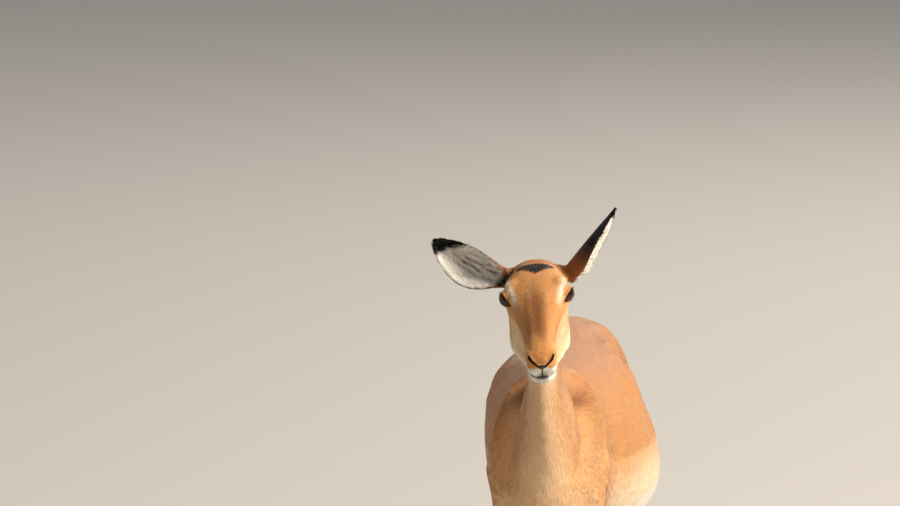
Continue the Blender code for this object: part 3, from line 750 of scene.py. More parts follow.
def finer(points, level):
    """Where the mesh is cut finer: round the eyes and over the muzzle, twice or three times."""
    own, folded = head_points(points)
    distance, edge, _, _ = eye_view(folded)
    reach, inmost, outmost, snout = FINER[level]
    front = unit(folded - EYE_PLACE) @ EYE_OUT > 0.1
    eyes = (distance < reach) & (front | (level == 0)) & (edge < outmost) & (edge > inmost)
    nose = (own[:, 1] < snout) & (head_weight(points) > 0.5)
    return eyes | nose


# ---------------------------------------------------------------- markings

SADDLE = rgb(198, 136, 78)
CREST = rgb(194, 130, 82)
FAWN = rgb(216, 158, 100)
PALE = rgb(238, 214, 176)
CHEEK = rgb(234, 202, 154)
CREAM = rgb(236, 220, 192)
WHITE = rgb(236, 230, 216)
FACE = rgb(214, 150, 86)
BROWN = rgb(112, 66, 36)
RUST = rgb(178, 98, 44)
TAWNY = rgb(168, 106, 50)
BLACK = rgb(9, 7, 6)
SOOT = rgb(58, 44, 38)
SMOKE = rgb(28, 21, 20)
FLESH_PINK = rgb(168, 122, 106)


def mix(colour, other, weight):
    return colour + (other - colour) * np.clip(weight, 0, 1)[:, None]


EAR_ROOT_DARK_AND_SHADE = {"left": 0.25, "right": 1.0}  # how dark each ear's root is painted: dark hair, and on the right, the side in shade, painted shade as well
EAR_ROW = 0.0062  # half the gap between the rows of hair inside an ear


def ear_marks(colour, points, found):
    for side_name, (root, along, _, across) in EARS.items():
        weight = found["ears"][side_name]
        if not np.any(weight > 0):
            continue
        ray = points - root
        share = ray @ along / EAR_LENGTH
        wide = ray @ across - EAR_BOW * np.sin(math.pi * np.clip(share, 0, 1))
        # outside: rust at the root, dark brown further out, black at the tip
        outer = np.tile(BROWN, (len(points), 1))
        outer = mix(outer, TAWNY, 0.7 * bump(np.stack([share, wide], 1), (0.18, 0.0), (0.14, 0.03)))
        outer = mix(outer, BLACK, smooth(0.26, 0.56, share))
        # inside: white hair, with the bare skin showing between its rows in the middle
        wobble = 1.5 * np.sin(12 * share + 70 * wide) + 0.8 * np.sin(31 * share)
        rows = 0.5 + 0.5 * np.cos(wide / EAR_ROW * math.pi + wobble)
        deep = hump(wide + 0.002, 0.015) * smooth(0.08, 0.22, share) * smooth(0.80, 0.52, share)
        lining = mix(np.tile(WHITE, (len(points), 1)), FLESH_PINK, 0.75 * deep * rows)
        lining = mix(lining, SOOT, 0.9 * deep * smooth(0.62, 0.95, rows))
        upper = np.sign(across[2]) * wide
        tip = share + 0.18 * np.clip(upper / 0.030, -0.45, 1.0)
        lining = mix(lining, BLACK, smooth(0.77, 0.84, tip))
        # black at the root inside each ear: dark hair, and on the right ear, which lies in shade, painted
        # shade too
        lining = mix(lining, BLACK, EAR_ROOT_DARK_AND_SHADE[side_name] * smooth(0.125, 0.085, share))
        both = outer + (lining - outer) * found["inner"][:, None]
        colour = colour + (both - colour) * weight[:, None]
    return colour


FACE_WIDTHS = (  # half width of the face, from nose to poll
    (-0.284, 0.012), (-0.265, 0.0265), (-0.242, 0.0290), (-0.210, 0.0325), (-0.178, 0.0395),
    (-0.145, 0.0500), (-0.110, 0.0570), (-0.070, 0.0595), (0.0, 0.0500),
)
BROW = (
    (0.0530, -0.064, 0.0350), (0.0500, -0.085, 0.0385), (0.0452, -0.110, 0.0360), (0.0405, -0.129, 0.0320),
    (0.0380, -0.147, 0.0280),
)
UNDER_EYE = (
    (0.0410, -0.148, 0.014), (0.0350, -0.178, 0.011), (0.0290, -0.206, 0.007), (0.0235, -0.238, 0.003),
)
EAR_FRONT = ((0.0450, -0.036, 0.028), (0.0535, -0.030, 0.012), (0.0580, -0.022, -0.004))
TEAR_SHARE = 0.38  # the black of the lids runs on ahead of the inner corner; less is longer
SHADED_BRIDGE_MIDDLE = -0.0045  # the brown of the nose is moved a little to the right, the shaded side, as painted shade
CROWN_FRONT = -0.066  # where the black of the crown starts and ends, from the poll
CROWN_BACK = -0.028


def head_marks(colour, points, found):
    own, folded = head_points(points)
    x, y, z = folded.T
    marks = np.tile(FACE, (len(points), 1))
    width = np.interp(y, *np.array(FACE_WIDTHS).T)
    across = x / width
    top = smooth(-0.030, -0.005, z - 0.10 * (y + 0.15))
    # browner down the bridge of the nose, from a point between the brows: the nose's own brown, and painted
    # shade on its right, shaded side
    aside = np.abs(own[:, 0] - SHADED_BRIDGE_MIDDLE) / width
    bridge_and_shade = hump(aside, 0.20 + 0.34 * smooth(-0.085, -0.200, y))
    bridge_and_shade = bridge_and_shade * smooth(-0.060, -0.165, y) * smooth(-0.262, -0.215, y) * top
    marks = mix(marks, BROWN, 0.86 * bridge_and_shade)
    # fine brown streaks on the forehead
    streaks = 0.5 + 0.5 * np.sin(1400 * own[:, 0] + 3 * np.sin(90 * y))
    streaks = 0.22 * streaks * smooth(0.85, 0.45, across)
    marks = mix(marks, BROWN, streaks * smooth(-0.15, -0.09, y) * smooth(0.0, -0.04, y))
    # pale down the outer edge of the face, from the eye to the lips
    cheek = smooth(0.60, 0.92, across) * smooth(-0.040, -0.150, y + 0.6 * (z + 0.03))
    cheek = cheek * smooth(-0.275, -0.225, y)
    marks = mix(marks, CHEEK, 0.85 * cheek * smooth(0.020, -0.008, z))
    marks = mix(marks, RUST, 0.75 * stripe(folded, UNDER_EYE, 0.0050))
    # pale line over and before the eye
    gap, along = path_distance(folded, BROW)
    ends = smooth(-0.05, 0.25, along) * smooth(1.05, 0.70, along)
    marks = mix(marks, CREAM, 0.96 * hump(gap, 0.0058) * (0.35 + 0.65 * ends))
    # jaw, lips and chin
    marks = mix(marks, PALE, smooth(-0.045, -0.066, z) * smooth(0.02, -0.05, y))
    marks = mix(marks, WHITE, smooth(-0.062, -0.080, z) * smooth(0.06, -0.02, y))
    lips = smooth(-0.226, -0.250, y) * smooth(-0.0215, -0.0275, z + 0.30 * (x - 0.012))
    marks = mix(marks, WHITE, lips)
    # dark line of the mouth, broadest in the middle
    mouth = mouth_line(folded, 0.0014 + 0.0054 * hump(x, 0.0105))
    ahead = smooth(-0.262, -0.274, y)
    marks = mix(marks, SMOKE, mouth * (0.96 - 0.70 * ahead * smooth(0.007, 0.014, x)))
    # dark round the nostrils, in the pad between them, and down the groove to the lip
    nose = smooth(-0.0019, -0.0006, nostril_gap(folded, found["slit"]))
    pad = 0.94 * smooth(-0.0004, 0.0010, nose_pad(folded))
    marks = mix(marks, BLACK, np.maximum.reduce([nose, pad, lip_groove(folded, 0.0020)]))
    # black crown, a broad low crescent with a small peak forwards, and browner behind it
    ragged = 0.0012 * np.sin(900 * own[:, 0]) + 0.0008 * np.sin(2300 * own[:, 0] + 1.0)
    front = CROWN_FRONT + 0.50 * x - 0.005 * hump(x, 0.006) + ragged
    back = CROWN_BACK - 0.25 * x + ragged
    crown = smooth(front, front + 0.003, y) * smooth(back + 0.002, back - 0.002, y)
    crown = crown * smooth(0.036, 0.031, x)
    behind = 0.7 * smooth(CROWN_BACK - 0.004, CROWN_BACK + 0.004, y) * smooth(0.010, -0.010, y)
    marks = mix(marks, RUST, behind * smooth(0.0, 0.02, z))
    marks = mix(marks, BLACK, crown * smooth(0.010, 0.020, z))
    # black before each ear's root: dark hair, and painted shade, strongest on the right, shaded side
    root_dark_and_shade = np.where(own[:, 0] < 0, EAR_ROOT_DARK_AND_SHADE["right"], EAR_ROOT_DARK_AND_SHADE["left"])
    marks = mix(marks, BLACK, np.minimum(1.5 * stripe(folded, EAR_FRONT, 0.0115), 1) * root_dark_and_shade)
    # lids, and the corner before the eye
    distance, edge, lift, turn = eye_view(folded)
    near = smooth(0.034, 0.028, distance)
    past = turn - INNER_CORNER
    rim = np.where(past > 0, np.hypot(TEAR_SHARE * past, lift), edge + 0.03 * (lift < 0))
    marks = mix(marks, BLACK, near * smooth(0.12, 0.07, rim))
    # and fawn behind the ears, as on the neck
    marks = mix(marks, FAWN, smooth(0.010, 0.035, y) * smooth(-0.06, -0.03, z))
    return colour + (marks - colour) * found["head"][:, None]


RUMP_LINE = (  # height, and how far out the black streak runs
    (0.48, 0.052), (0.56, 0.060), (0.64, 0.066), (0.70, 0.064), (0.75, 0.055), (0.79, 0.042), (0.82, 0.030),
)
BELLY_LEVEL = 0.545  # top of the belly's white, at the elbow
SADDLE_LEVEL = 0.660  # the saddle's lower edge, on the ribs
GLAND = (0.072, 0.571, 0.128)  # black tuft over the left hind fetlock, behind


def body_marks(points, normals, found):
    x, y, z = np.abs(points[:, 0]), points[:, 1], points[:, 2]
    colour = np.tile(FAWN, (len(points), 1))
    # pale sides, and the white of the belly and brisket
    sides = smooth(0.66, 0.56, z - 0.02 * np.sin(9 * y)) * smooth(-0.14, -0.02, y)
    colour = mix(colour, PALE, sides * smooth(0.50, 0.34, y))
    level = BELLY_LEVEL + 0.045 * smooth(-0.05, 0.30, y)
    belly = smooth(level + 0.012, level - 0.012, z) * smooth(-0.10, -0.04, y)
    colour = mix(colour, WHITE, belly * (1 - smooth(0.36, 0.44, y)))
    # saddle, higher over the shoulder and the thigh
    edge = SADDLE_LEVEL + 0.055 * smooth(0.02, -0.16, y) + 0.030 * smooth(0.36, 0.50, y)
    saddle = smooth(edge - 0.005, edge + 0.005, z) * smooth(-0.27, 0.03, y)
    colour = mix(colour, SADDLE, saddle)
    colour = mix(colour, CREST, saddle * smooth(0.75, 0.84, z) * 0.6)
    # crest of the neck a little darker, throat paler
    behind = dot(normals, np.array((0, 0.8, 0.6)))
    neck = smooth(-0.06, -0.26, y) * (1 - found["head"])
    colour = mix(colour, SADDLE, neck * smooth(0.0, 0.8, behind) * 0.7)
    colour = mix(colour, PALE, neck * smooth(0.2, 0.9, -behind) * 0.45)
    throat = smooth(-0.085, -0.010, beyond(points, THROAT) + 0.03 * np.abs(normals[:, 0]))
    colour = mix(colour, WHITE, throat * smooth(-0.1, 0.5, -behind) * neck)
    # the hollow before the shoulder blade is darker: its darker hair, and painted shade in the hollow
    hollow = bump(np.stack([x, y, z + 0.010], axis=1), PIT, (0.022,) * 3)
    colour = mix(colour, BROWN, 0.95 * hollow)
    # insides of the legs, and the legs' own tan
    inner = smooth(0.15, 0.65, -np.sign(points[:, 0]) * normals[:, 0])
    leg = smooth(0.56, 0.48, z)
    colour = mix(colour, FAWN, leg * 0.8)
    colour = mix(colour, WHITE, leg * inner * smooth(0.18, 0.36, z) * 0.9)
    shin = smooth(0.2, 0.8, -normals[:, 1]) * smooth(0.45, 0.36, z) * smooth(0.10, 0.20, z)
    colour = mix(colour, RUST, 0.35 * shin)
    # groin and inner thighs
    groin = smooth(0.056, 0.040, x) * smooth(0.30, 0.38, y) * smooth(0.66, 0.62, z)
    colour = mix(colour, WHITE, groin * (1 - found["leg"]))
    # rump: white inside a black streak down each haunch
    rear = smooth(0.05, 0.35, normals[:, 1]) * smooth(0.50, 0.53, y) * (1 - found["leg"])
    line = np.interp(z, *np.array(RUMP_LINE).T)
    colour = mix(colour, WHITE, rear * smooth(line + 0.002, line - 0.004, x) * smooth(0.815, 0.790, z))
    streak = hump(x - line, 0.0062) * smooth(0.50, 0.56, z) * smooth(0.818, 0.800, z)
    colour = mix(colour, BLACK, np.minimum(1.25 * streak * rear, 1))
    # black tufts behind the hind fetlocks, and dark rings over the hooves
    gland = bump(np.stack([x, y, z], axis=1), GLAND, (0.016, 0.014, 0.026))
    colour = mix(colour, BLACK, 1.6 * gland)
    colour = mix(colour, BROWN, 0.6 * smooth(0.060, 0.040, z))
    # tail: white, with a black line down the upper side and a white tip
    upper = smooth(0.0, 0.5, normals[:, 1])
    tail = mix(np.tile(WHITE, (len(points), 1)), SADDLE, smooth(0.70, 0.79, z) * upper)
    line = smooth(0.009, 0.005, x) * upper * smooth(0.53, 0.57, z)
    tail = mix(tail, BLACK, line * smooth(0.80, 0.74, z))
    return colour + (tail - colour) * found["tail"][:, None]


def marking(points, normals, found):
    """The coat's colour at any place: the skin and the tufts both take it from here."""
    colour = body_marks(points, normals, found)
    colour = head_marks(colour, points, found)
    return ear_marks(colour, points, found)


def inner_side(points, normals, found):
    """1 on the hollow side of an ear."""
    inner = np.zeros(len(points))
    for side_name, (root, along, opening, across) in EARS.items():
        share = np.clip((points - root) @ along / EAR_LENGTH, 0, 1)
        axis = root + along * (EAR_LENGTH * share)[:, None] + opening * EAR_HOLLOW
        axis = axis + across * (EAR_BOW * np.sin(math.pi * share))[:, None]
        inner += smooth(-0.15, 0.15, dot(normals, unit(axis - points))) * found["ears"][side_name]
    return inner


def bare(points, found):
    """1 where the skin has no hair: the lids' edges, nostrils, nose, and the line of the mouth."""
    _, folded = head_points(points)
    distance, edge, _, _ = eye_view(folded)
    lids = (distance < 0.030) * smooth(0.075, 0.045, edge)
    nose = smooth(-0.0014, -0.0002, nostril_gap(folded, found["slit"]))
    pad = smooth(0.0002, 0.0012, nose_pad(folded))
    lips = np.maximum(lip_groove(folded, 0.0016), mouth_line(folded, 0.0010))
    return np.maximum.reduce([lids, nose, pad, lips]) * (found["head"] > 0.5)


# ---------------------------------------------------------------- tufts

def scatter(surface, keep, density, seed):
    """Evenly strewn places on the kept faces: their faces, and shares of the faces' corners."""
    rng = np.random.default_rng(seed)
    wanted = surface.areas * keep * density[surface.faces].mean(axis=1)
    total = np.cumsum(wanted)
    count = int(total[-1])
    marks = (np.arange(count) + rng.random(count)) * (total[-1] / max(count, 1))
    face = np.minimum(np.searchsorted(total, marks), len(total) - 1)
    a, b = np.sqrt(rng.random(count)), rng.random(count)
    return face, np.stack([1 - a, a * (1 - b), a * b], axis=1), rng


def carried(surface, face, shares, values):
    corners = surface.faces[face]
    if values.ndim == 1:
        return sum(values[corners[:, k]] * shares[:, k] for k in range(3))
    return sum(values[corners[:, k]] * shares[:, k : k + 1] for k in range(3))


def lock_shape(rings):
    """Shares along and across for one tuft's points, and its triangles.

    With no ring it is a folded leaf of 4 points; each ring adds a left, a ridge and a right point.
    """
    if not rings:
        points = [(0, 0), (0.36, 1), (0.36, -1), (1, 0)]
        return np.array(points, float), np.array([(0, 2, 3), (0, 3, 1)])
    points = [(0, 0)]
    for k in range(rings):
        t = 0.30 + 0.52 * k / max(rings - 1, 1) if rings > 1 else 0.45
        wide = 1 - 0.55 * (k / max(rings - 1, 1)) if rings > 1 else 1.0
        points += [(t, wide), (t, 0), (t, -wide)]
    points.append((1, 0))
    last = len(points) - 1
    faces = [(0, 2, 1), (0, 3, 2)]
    for k in range(rings - 1):
        a, b = 1 + 3 * k, 4 + 3 * k
        faces += [(a, a + 1, b + 1), (a, b + 1, b), (a + 1, a + 2, b + 2), (a + 1, b + 2, b + 1)]
    a = 1 + 3 * (rings - 1)
    faces += [(a, a + 1, last), (a + 1, a + 2, last)]
    return np.array(points, float), np.array(faces)


PATCH = 0.003  # each tuft's own side on the unwrapped skin


def grow(name, roots, normals, ways, length, width, rise, curve, colour, seat, rings, rng):
    """One mesh of tufts, each leaning along its way and lying over its neighbours.

    rise is how high a tuft stands over its root, curve how the skin under it bends, and seat its root's
    place on the unwrapped skin.
    """
    shape, faces = lock_shape(rings)
    count, points_each = len(roots), len(shape)
    across = unit(np.cross(normals, ways))
    along = shape[:, 0]
    step = length[:, None] * along  # tufts x points
    height = rise[:, None] * np.sin(math.pi * np.minimum(0.80 * along, 0.62)) - 0.0005
    height = height - 0.5 * curve[:, None] * step ** 2 - 0.12 * width[:, None] * np.abs(shape[:, 1])
    side = width[:, None] * 0.5 * shape[:, 1]
    points = (
        roots[:, None, :] + ways[:, None, :] * step[..., None] + normals[:, None, :] * height[..., None]
        + across[:, None, :] * side[..., None]
    )
    lean = 0.3 * (along - 0.35)
    shading = normals[:, None, :] + across[:, None, :] * (0.28 * np.sign(shape[:, 1]))[None, :, None]
    shading = unit(shading + ways[:, None, :] * lean[None, :, None])
    # lighter towards the tip, and each tuft a little lighter or darker than the next
    tone = (0.88 + 0.16 * along) * np.clip(1 + 0.050 * rng.standard_normal(count), 0.82, 1.18)[:, None]
    tints = np.clip(colour[:, None, :] * tone[..., None], 0, 1)
    all_faces = (faces[None] + (np.arange(count) * points_each)[:, None, None]).reshape(-1, 3)
    mesh = bpy.data.meshes.new(name)
    mesh.vertices.add(count * points_each)
    mesh.vertices.foreach_set("co", points.astype(np.float32).ravel())
    mesh.loops.add(len(all_faces) * 3)
    mesh.loops.foreach_set("vertex_index", all_faces.astype(np.int32).ravel())
    mesh.polygons.add(len(all_faces))
    mesh.polygons.foreach_set("loop_start", np.arange(0, len(all_faces) * 3, 3, dtype=np.int32))
    mesh.update(calc_edges=True)
    shade_smooth(mesh)
    paint(mesh, tints.reshape(-1, 3))
    if seat is not None:
        patch = seat[:, None, :] + PATCH * np.stack([along - 0.5, 0.5 * shape[:, 1]], axis=1)[None]
        uv = np.clip(patch, 0, 1).reshape(-1, 2)[all_faces.ravel()]
        layer = mesh.uv_layers.new(name="OFBake", do_init=False)
        layer.uv.foreach_set("vector", uv.astype(np.float32).ravel())
    mesh.normals_split_custom_set_from_vertices(shading.reshape(-1, 3).astype(np.float32))
    return new_object(name, mesh)


def paint(mesh, colours):
    layer = mesh.attributes.new("markings", "FLOAT_COLOR", "POINT")
    rgba = np.concatenate([colours, np.ones((len(colours), 1))], axis=1)
    layer.data.foreach_set("color", rgba.astype(np.float32).ravel())


# ---------------------------------------------------------------- finishes

def node(tree, kind, **settings):
    made = tree.nodes.new(kind)
    for key, value in settings.items():
        if key in made.inputs.keys():
            made.inputs[key].default_value = value
        else:
            setattr(made, key, value)
    return made


def link(source, output, target, entry):
    target.id_data.links.new(source.outputs[output], target.inputs[entry])


def finish(name, roughness, sheen=0.0, specular=0.5, coat=0.0):
    made = bpy.data.materials.new(name)
    made.use_nodes = True
    shader = made.node_tree.nodes["Principled BSDF"]
    values = {
        "Roughness": roughness, "Specular IOR Level": specular, "Coat Weight": coat, "Coat Roughness": 0.03,
        "Sheen Weight": sheen, "Sheen Roughness": 0.50, "Sheen Tint": (1.0, 0.90, 0.80, 1),
    }
    for entry, value in values.items():
        shader.inputs[entry].default_value = value
    return made, made.node_tree, shader


def grain(tree, scale, stretch, detail=3.0):
    """Noise on the piece's own coordinates, drawn out along one way."""
    where = node(tree, "ShaderNodeTexCoord")
    squeeze = node(tree, "ShaderNodeMapping", Scale=stretch)
    noise = node(tree, "ShaderNodeTexNoise", Scale=scale, Detail=detail, Roughness=0.6)
    link(where, "Object", squeeze, "Vector")
    link(squeeze, "Vector", noise, "Vector")
    return noise


def ranged(tree, source, low, high, start=0.0, end=1.0):
    """The source's start to end, made low to high."""
    limits = {"From Min": start, "From Max": end, "To Min": low, "To Max": high}
    made = node(tree, "ShaderNodeMapRange", **limits)
    link(source, "Fac", made, "Value")
    return made


def tinted(tree, shader, low, high, scale, stretch):
    """The markings, made a little lighter and darker by the grain."""
    marks = node(tree, "ShaderNodeAttribute", attribute_name="markings")
    noise = grain(tree, scale, stretch)
    times = node(tree, "ShaderNodeVectorMath", operation="SCALE")
    link(marks, "Color", times, 0)
    link(ranged(tree, noise, low, high, 0.30, 0.70), "Result", times, "Scale")
    link(times, "Vector", shader, "Base Color")
    return noise


def roughen(tree, shader, noise, strength, distance, output="Fac"):
    relief = node(tree, "ShaderNodeBump", Strength=strength, Distance=distance)
    link(noise, output, relief, "Height")
    link(relief, "Normal", shader, "Normal")


def skin_finish():
    made, tree, shader = finish("skin", 0.55, sheen=0.05, specular=0.3)
    tinted(tree, shader, 0.80, 1.05, 60.0, (6.0, 1.0, 6.0))
    roughen(tree, shader, grain(tree, 420.0, (1.0, 0.35, 1.0), 4.0), 0.5, 0.0006)
    # bare skin is damp and finely pebbled
    wet = node(tree, "ShaderNodeAttribute", attribute_name="bare")
    link(ranged(tree, wet, 0.62, 0.30), "Result", shader, "Roughness")
    return made


def coat_finish(name, roughness, sheen, specular, scale, stretch):
    made, tree, shader = finish(name, roughness, sheen, specular)
    noise = tinted(tree, shader, 0.90, 1.08, scale, stretch)
    roughen(tree, shader, noise, 0.25, 0.0004)
    return made


def horn_finish():
    made, tree, shader = finish("hoof_horn", 0.46, specular=0.35)
    where = node(tree, "ShaderNodeTexCoord")
    rings = node(tree, "ShaderNodeTexWave", Scale=42.0, Distortion=3.0, Detail=3.0, bands_direction="Z")
    link(where, "Object", rings, "Vector")
    both = node(tree, "ShaderNodeMath", operation="MULTIPLY")
    link(rings, "Fac", both, 0)
    link(grain(tree, 90.0, (5.0, 5.0, 0.5)), "Fac", both, 1)
    tone = node(tree, "ShaderNodeValToRGB")
    tone.color_ramp.elements[0].color = (0.014, 0.011, 0.009, 1)
    tone.color_ramp.elements[1].color = (0.055, 0.042, 0.034, 1)
    link(both, "Value", tone, "Fac")
    link(tone, "Color", shader, "Base Color")
    roughen(tree, shader, both, 0.20, 0.0005, "Value")
    return made


def eye_finish():
    made, tree, shader = finish("eye", 0.25, specular=0.10, coat=0.60)
    tone = node(tree, "ShaderNodeAttribute", attribute_name="markings")
    link(tone, "Color", shader, "Base Color")
    return made


# ---------------------------------------------------------------- eyes and hooves

IRIS = rgb(74, 28, 14)
PUPIL = rgb(4, 3, 3)
EYE_WHITE = rgb(40, 24, 18)  # dark brown, as in all antelopes
PUPIL_LONG, PUPIL_HIGH = 0.0078, 0.0050
CORNEA = 0.035  # how much fuller the front of the ball is


def add_eye(side_name, material):
    """A round ball with a dark brown iris, a level oval pupil and a slightly fuller front."""
    side = SIDES[side_name]
    centre = place(HEAD, EYE_PLACE * (side, 1, 1))
    out, along, up = (HEAD_TURN @ (v * (side, 1, 1)) for v in (EYE_OUT, EYE_ALONG, EYE_UP))
    bpy.ops.object.select_all(action="DESELECT")
    bpy.ops.mesh.primitive_uv_sphere_add(segments=64, ring_count=40, radius=EYE_RADIUS)
    ball = bpy.context.object
    ball.name = f"eyeball_{side_name}"
    # the pole looks out, so that the iris is round
    outwards = np.cross(along, up)
    outwards = outwards * np.sign(outwards.dot(out))
    turn = Matrix((along, up, outwards)).transposed()
    local = numbers(ball.data.vertices, "co", 3).astype(float)
    flat = np.hypot(local[:, 0], local[:, 1]) / EYE_RADIUS
    front = local[:, 2] > 0
    fuller = np.where(front, 1 + CORNEA * np.clip(1 - (flat / 0.62) ** 2, 0, 1), 1.0)
    world = (local * fuller[:, None]) @ np.array(turn).T + centre
    colour = np.tile(EYE_WHITE, (len(local), 1))
    colour = mix(colour, IRIS, front * smooth(0.74, 0.66, flat))
    colour = mix(colour, PUPIL, front * (smooth(0.58, 0.66, flat) * smooth(0.78, 0.70, flat)))
    pupil = np.hypot(local[:, 0] / PUPIL_LONG, local[:, 1] / PUPIL_HIGH)
    colour = mix(colour, PUPIL, front * smooth(1.15, 0.95, pupil))
    ball.data.vertices.foreach_set("co", world.astype(np.float32).ravel())
    paint(ball.data, colour)
    shade_smooth(ball.data)
    bm = bmesh.new()
    bm.from_mesh(ball.data)
    bmesh.ops.recalc_face_normals(bm, faces=bm.faces)
    bm.to_mesh(ball.data)
    bm.free()
    wear(ball, material, "eye", f"eye_{side_name}")


HOOF_VOXEL = 0.0015
HORN_RING = 0.00012  # height of the rings


def add_hoof(name, material):
    """Half a cloven hoof: the solid one with its edges rounded and its horn ringed."""
    hoof = new_object(name.replace("hoof", "horn"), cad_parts[name].data.copy())
    apply(hoof, "REMESH", mode="VOXEL", voxel_size=HOOF_VOXEL, adaptivity=0.0)
    surface = Surface(hoof.data)
    before = surface.points.copy()
    surface.relax(16, keep_size=False)
    surface.swell(before, 16)
    # rings run level with the edge of the hair, which is lower behind
    level = surface.points[:, 2] + 0.33 * surface.points[:, 1]
    wall = smooth(0.6, 0.2, np.abs(surface.normals[:, 2])) * smooth(0.001, 0.006, surface.points[:, 2])
    ring = np.cos(2 * math.pi * level / 0.0042) + 0.5 * np.cos(2 * math.pi * level / 0.0027 + 1.0)
    surface.points += surface.normals * (HORN_RING * ring * wall)[:, None]
    sole = before[:, 2] < 0.0008
    surface.points[:, 2] = np.where(sole, 0.0, np.maximum(surface.points[:, 2], 0.0))
    surface.write(hoof.data)
    shade_smooth(hoof.data)
    wear(hoof, material, "hoof_horn", name)


def wear(obj, material, slot, *replaced):
    """Gives a piece its finish and its place in the model."""
    obj.data.materials.clear()
    obj.data.materials.append(material)
    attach(obj, "root")
    if replaced:
        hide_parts(*replaced)


# ---------------------------------------------------------------- the coat

DENSITY, THICKER = ((1.0, 1.0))
WEIGHTS = ("head", "ear", "leg", "foot", "tail", "inner")


def unwrapped(surface, keep):
    """A seat on a flat pattern of the kept part of the skin, for each corner of each kept face."""
    chosen = np.flatnonzero(keep)
    mesh = bpy.data.meshes.new("pattern")
    used, corners = np.unique(surface.faces[chosen].ravel(), return_inverse=True)
    mesh.from_pydata(surface.points[used].tolist(), [], corners.reshape(-1, 3).tolist())
    pattern = new_object("pattern", mesh)
    select(pattern)
    in_edit_mode(bpy.ops.uv.smart_project, angle_limit=math.radians(66), island_margin=0.002)
    seats = numbers(pattern.data.uv_layers[0].uv, "vector", 2).reshape(-1, 3, 2)
    bpy.data.objects.remove(pattern)
    table = np.zeros((len(surface.faces), 3, 2))
    table[chosen] = seats
    return table


def grow_on(name, keep, seed, rings, hair, body, material, slot, stand=0.0, spread=0.16, tint=None):
    """Tufts over the kept faces of the body, which is the skin's surface and its fields.

    hair holds, for each point of the skin, the tufts' ways, length, width, rise and number to the square
    metre; stand lifts them off the skin, spread makes them stray, and tint covers the markings.
    """
    surface, found = body
    table = unwrapped(surface, keep)
    face, shares, rng = scatter(surface, keep, hair["number"] * DENSITY, seed)
    at = {key: carried(surface, face, shares, value) for key, value in hair.items()}
    roots = carried(surface, face, shares, surface.points)
    normals = unit(carried(surface, face, shares, surface.normals))
    local = {key: carried(surface, face, shares, found[key]) for key in WEIGHTS}
    local["ears"] = {side: carried(surface, face, shares, found["ears"][side]) for side in SIDES}
    local["slit"] = found["slit"]
    ways = unit(at["ways"] + spread * rng.standard_normal(normals.shape))
    ways = unit(unit(ways - normals * dot(ways, normals)[:, None]) + stand * normals)
    size = (1 + 0.18 * rng.standard_normal(len(roots))).clip(0.6, 1.5)
    # colour is read a little along the tuft, so that edges of the markings are ragged as hair is
    spots = roots + ways * (at["length"] * rng.uniform(-0.3, 0.9, len(roots)))[:, None]
    colour = marking(spots, normals, local)
    if tint is not None:
        colour = colour * 0.25 + tint * 0.75
    stay = rng.random(len(roots)) > (bare(roots, local) if tint is None else 0)
    seat = None
    if table is not None:
        seat = sum(table[face, k] * shares[:, k : k + 1] for k in range(3))[stay]
    sizes = (at["length"] * size, at["width"] * THICKER, at["rise"] * size)
    each = (roots, normals, ways, *sizes, at["curve"], colour)
    piece = grow(name, *(values[stay] for values in each), seat, rings, rng)
    wear(piece, material, slot)


# Length, width and rise of a tuft in metres, and the skin that it has to itself in square millimetres
SHORT_COAT = {
    "body": (0.0140, 0.00130, 0.0009, 3.6),
    "leg": (0.0080, 0.00100, 0.0008, 2.4),
    "foot": (0.0055, 0.00090, 0.0008, 1.8),
    "nearly": (0.0062, 0.00080, 0.0006, 1.25),
    "ear": (0.0060, 0.00085, 0.0006, 1.5),
}
EAR_HAIR = (0.016, 0.0011, 0.0022, 4.5)
LASHES = (0.0050, 0.0004, 0.0010, 1.6)
TAIL_HAIR = (0.036, 0.0020, 0.0030, 3.4)
FETLOCK_HAIR = (0.017, 0.0013, 0.0022, 1.1)


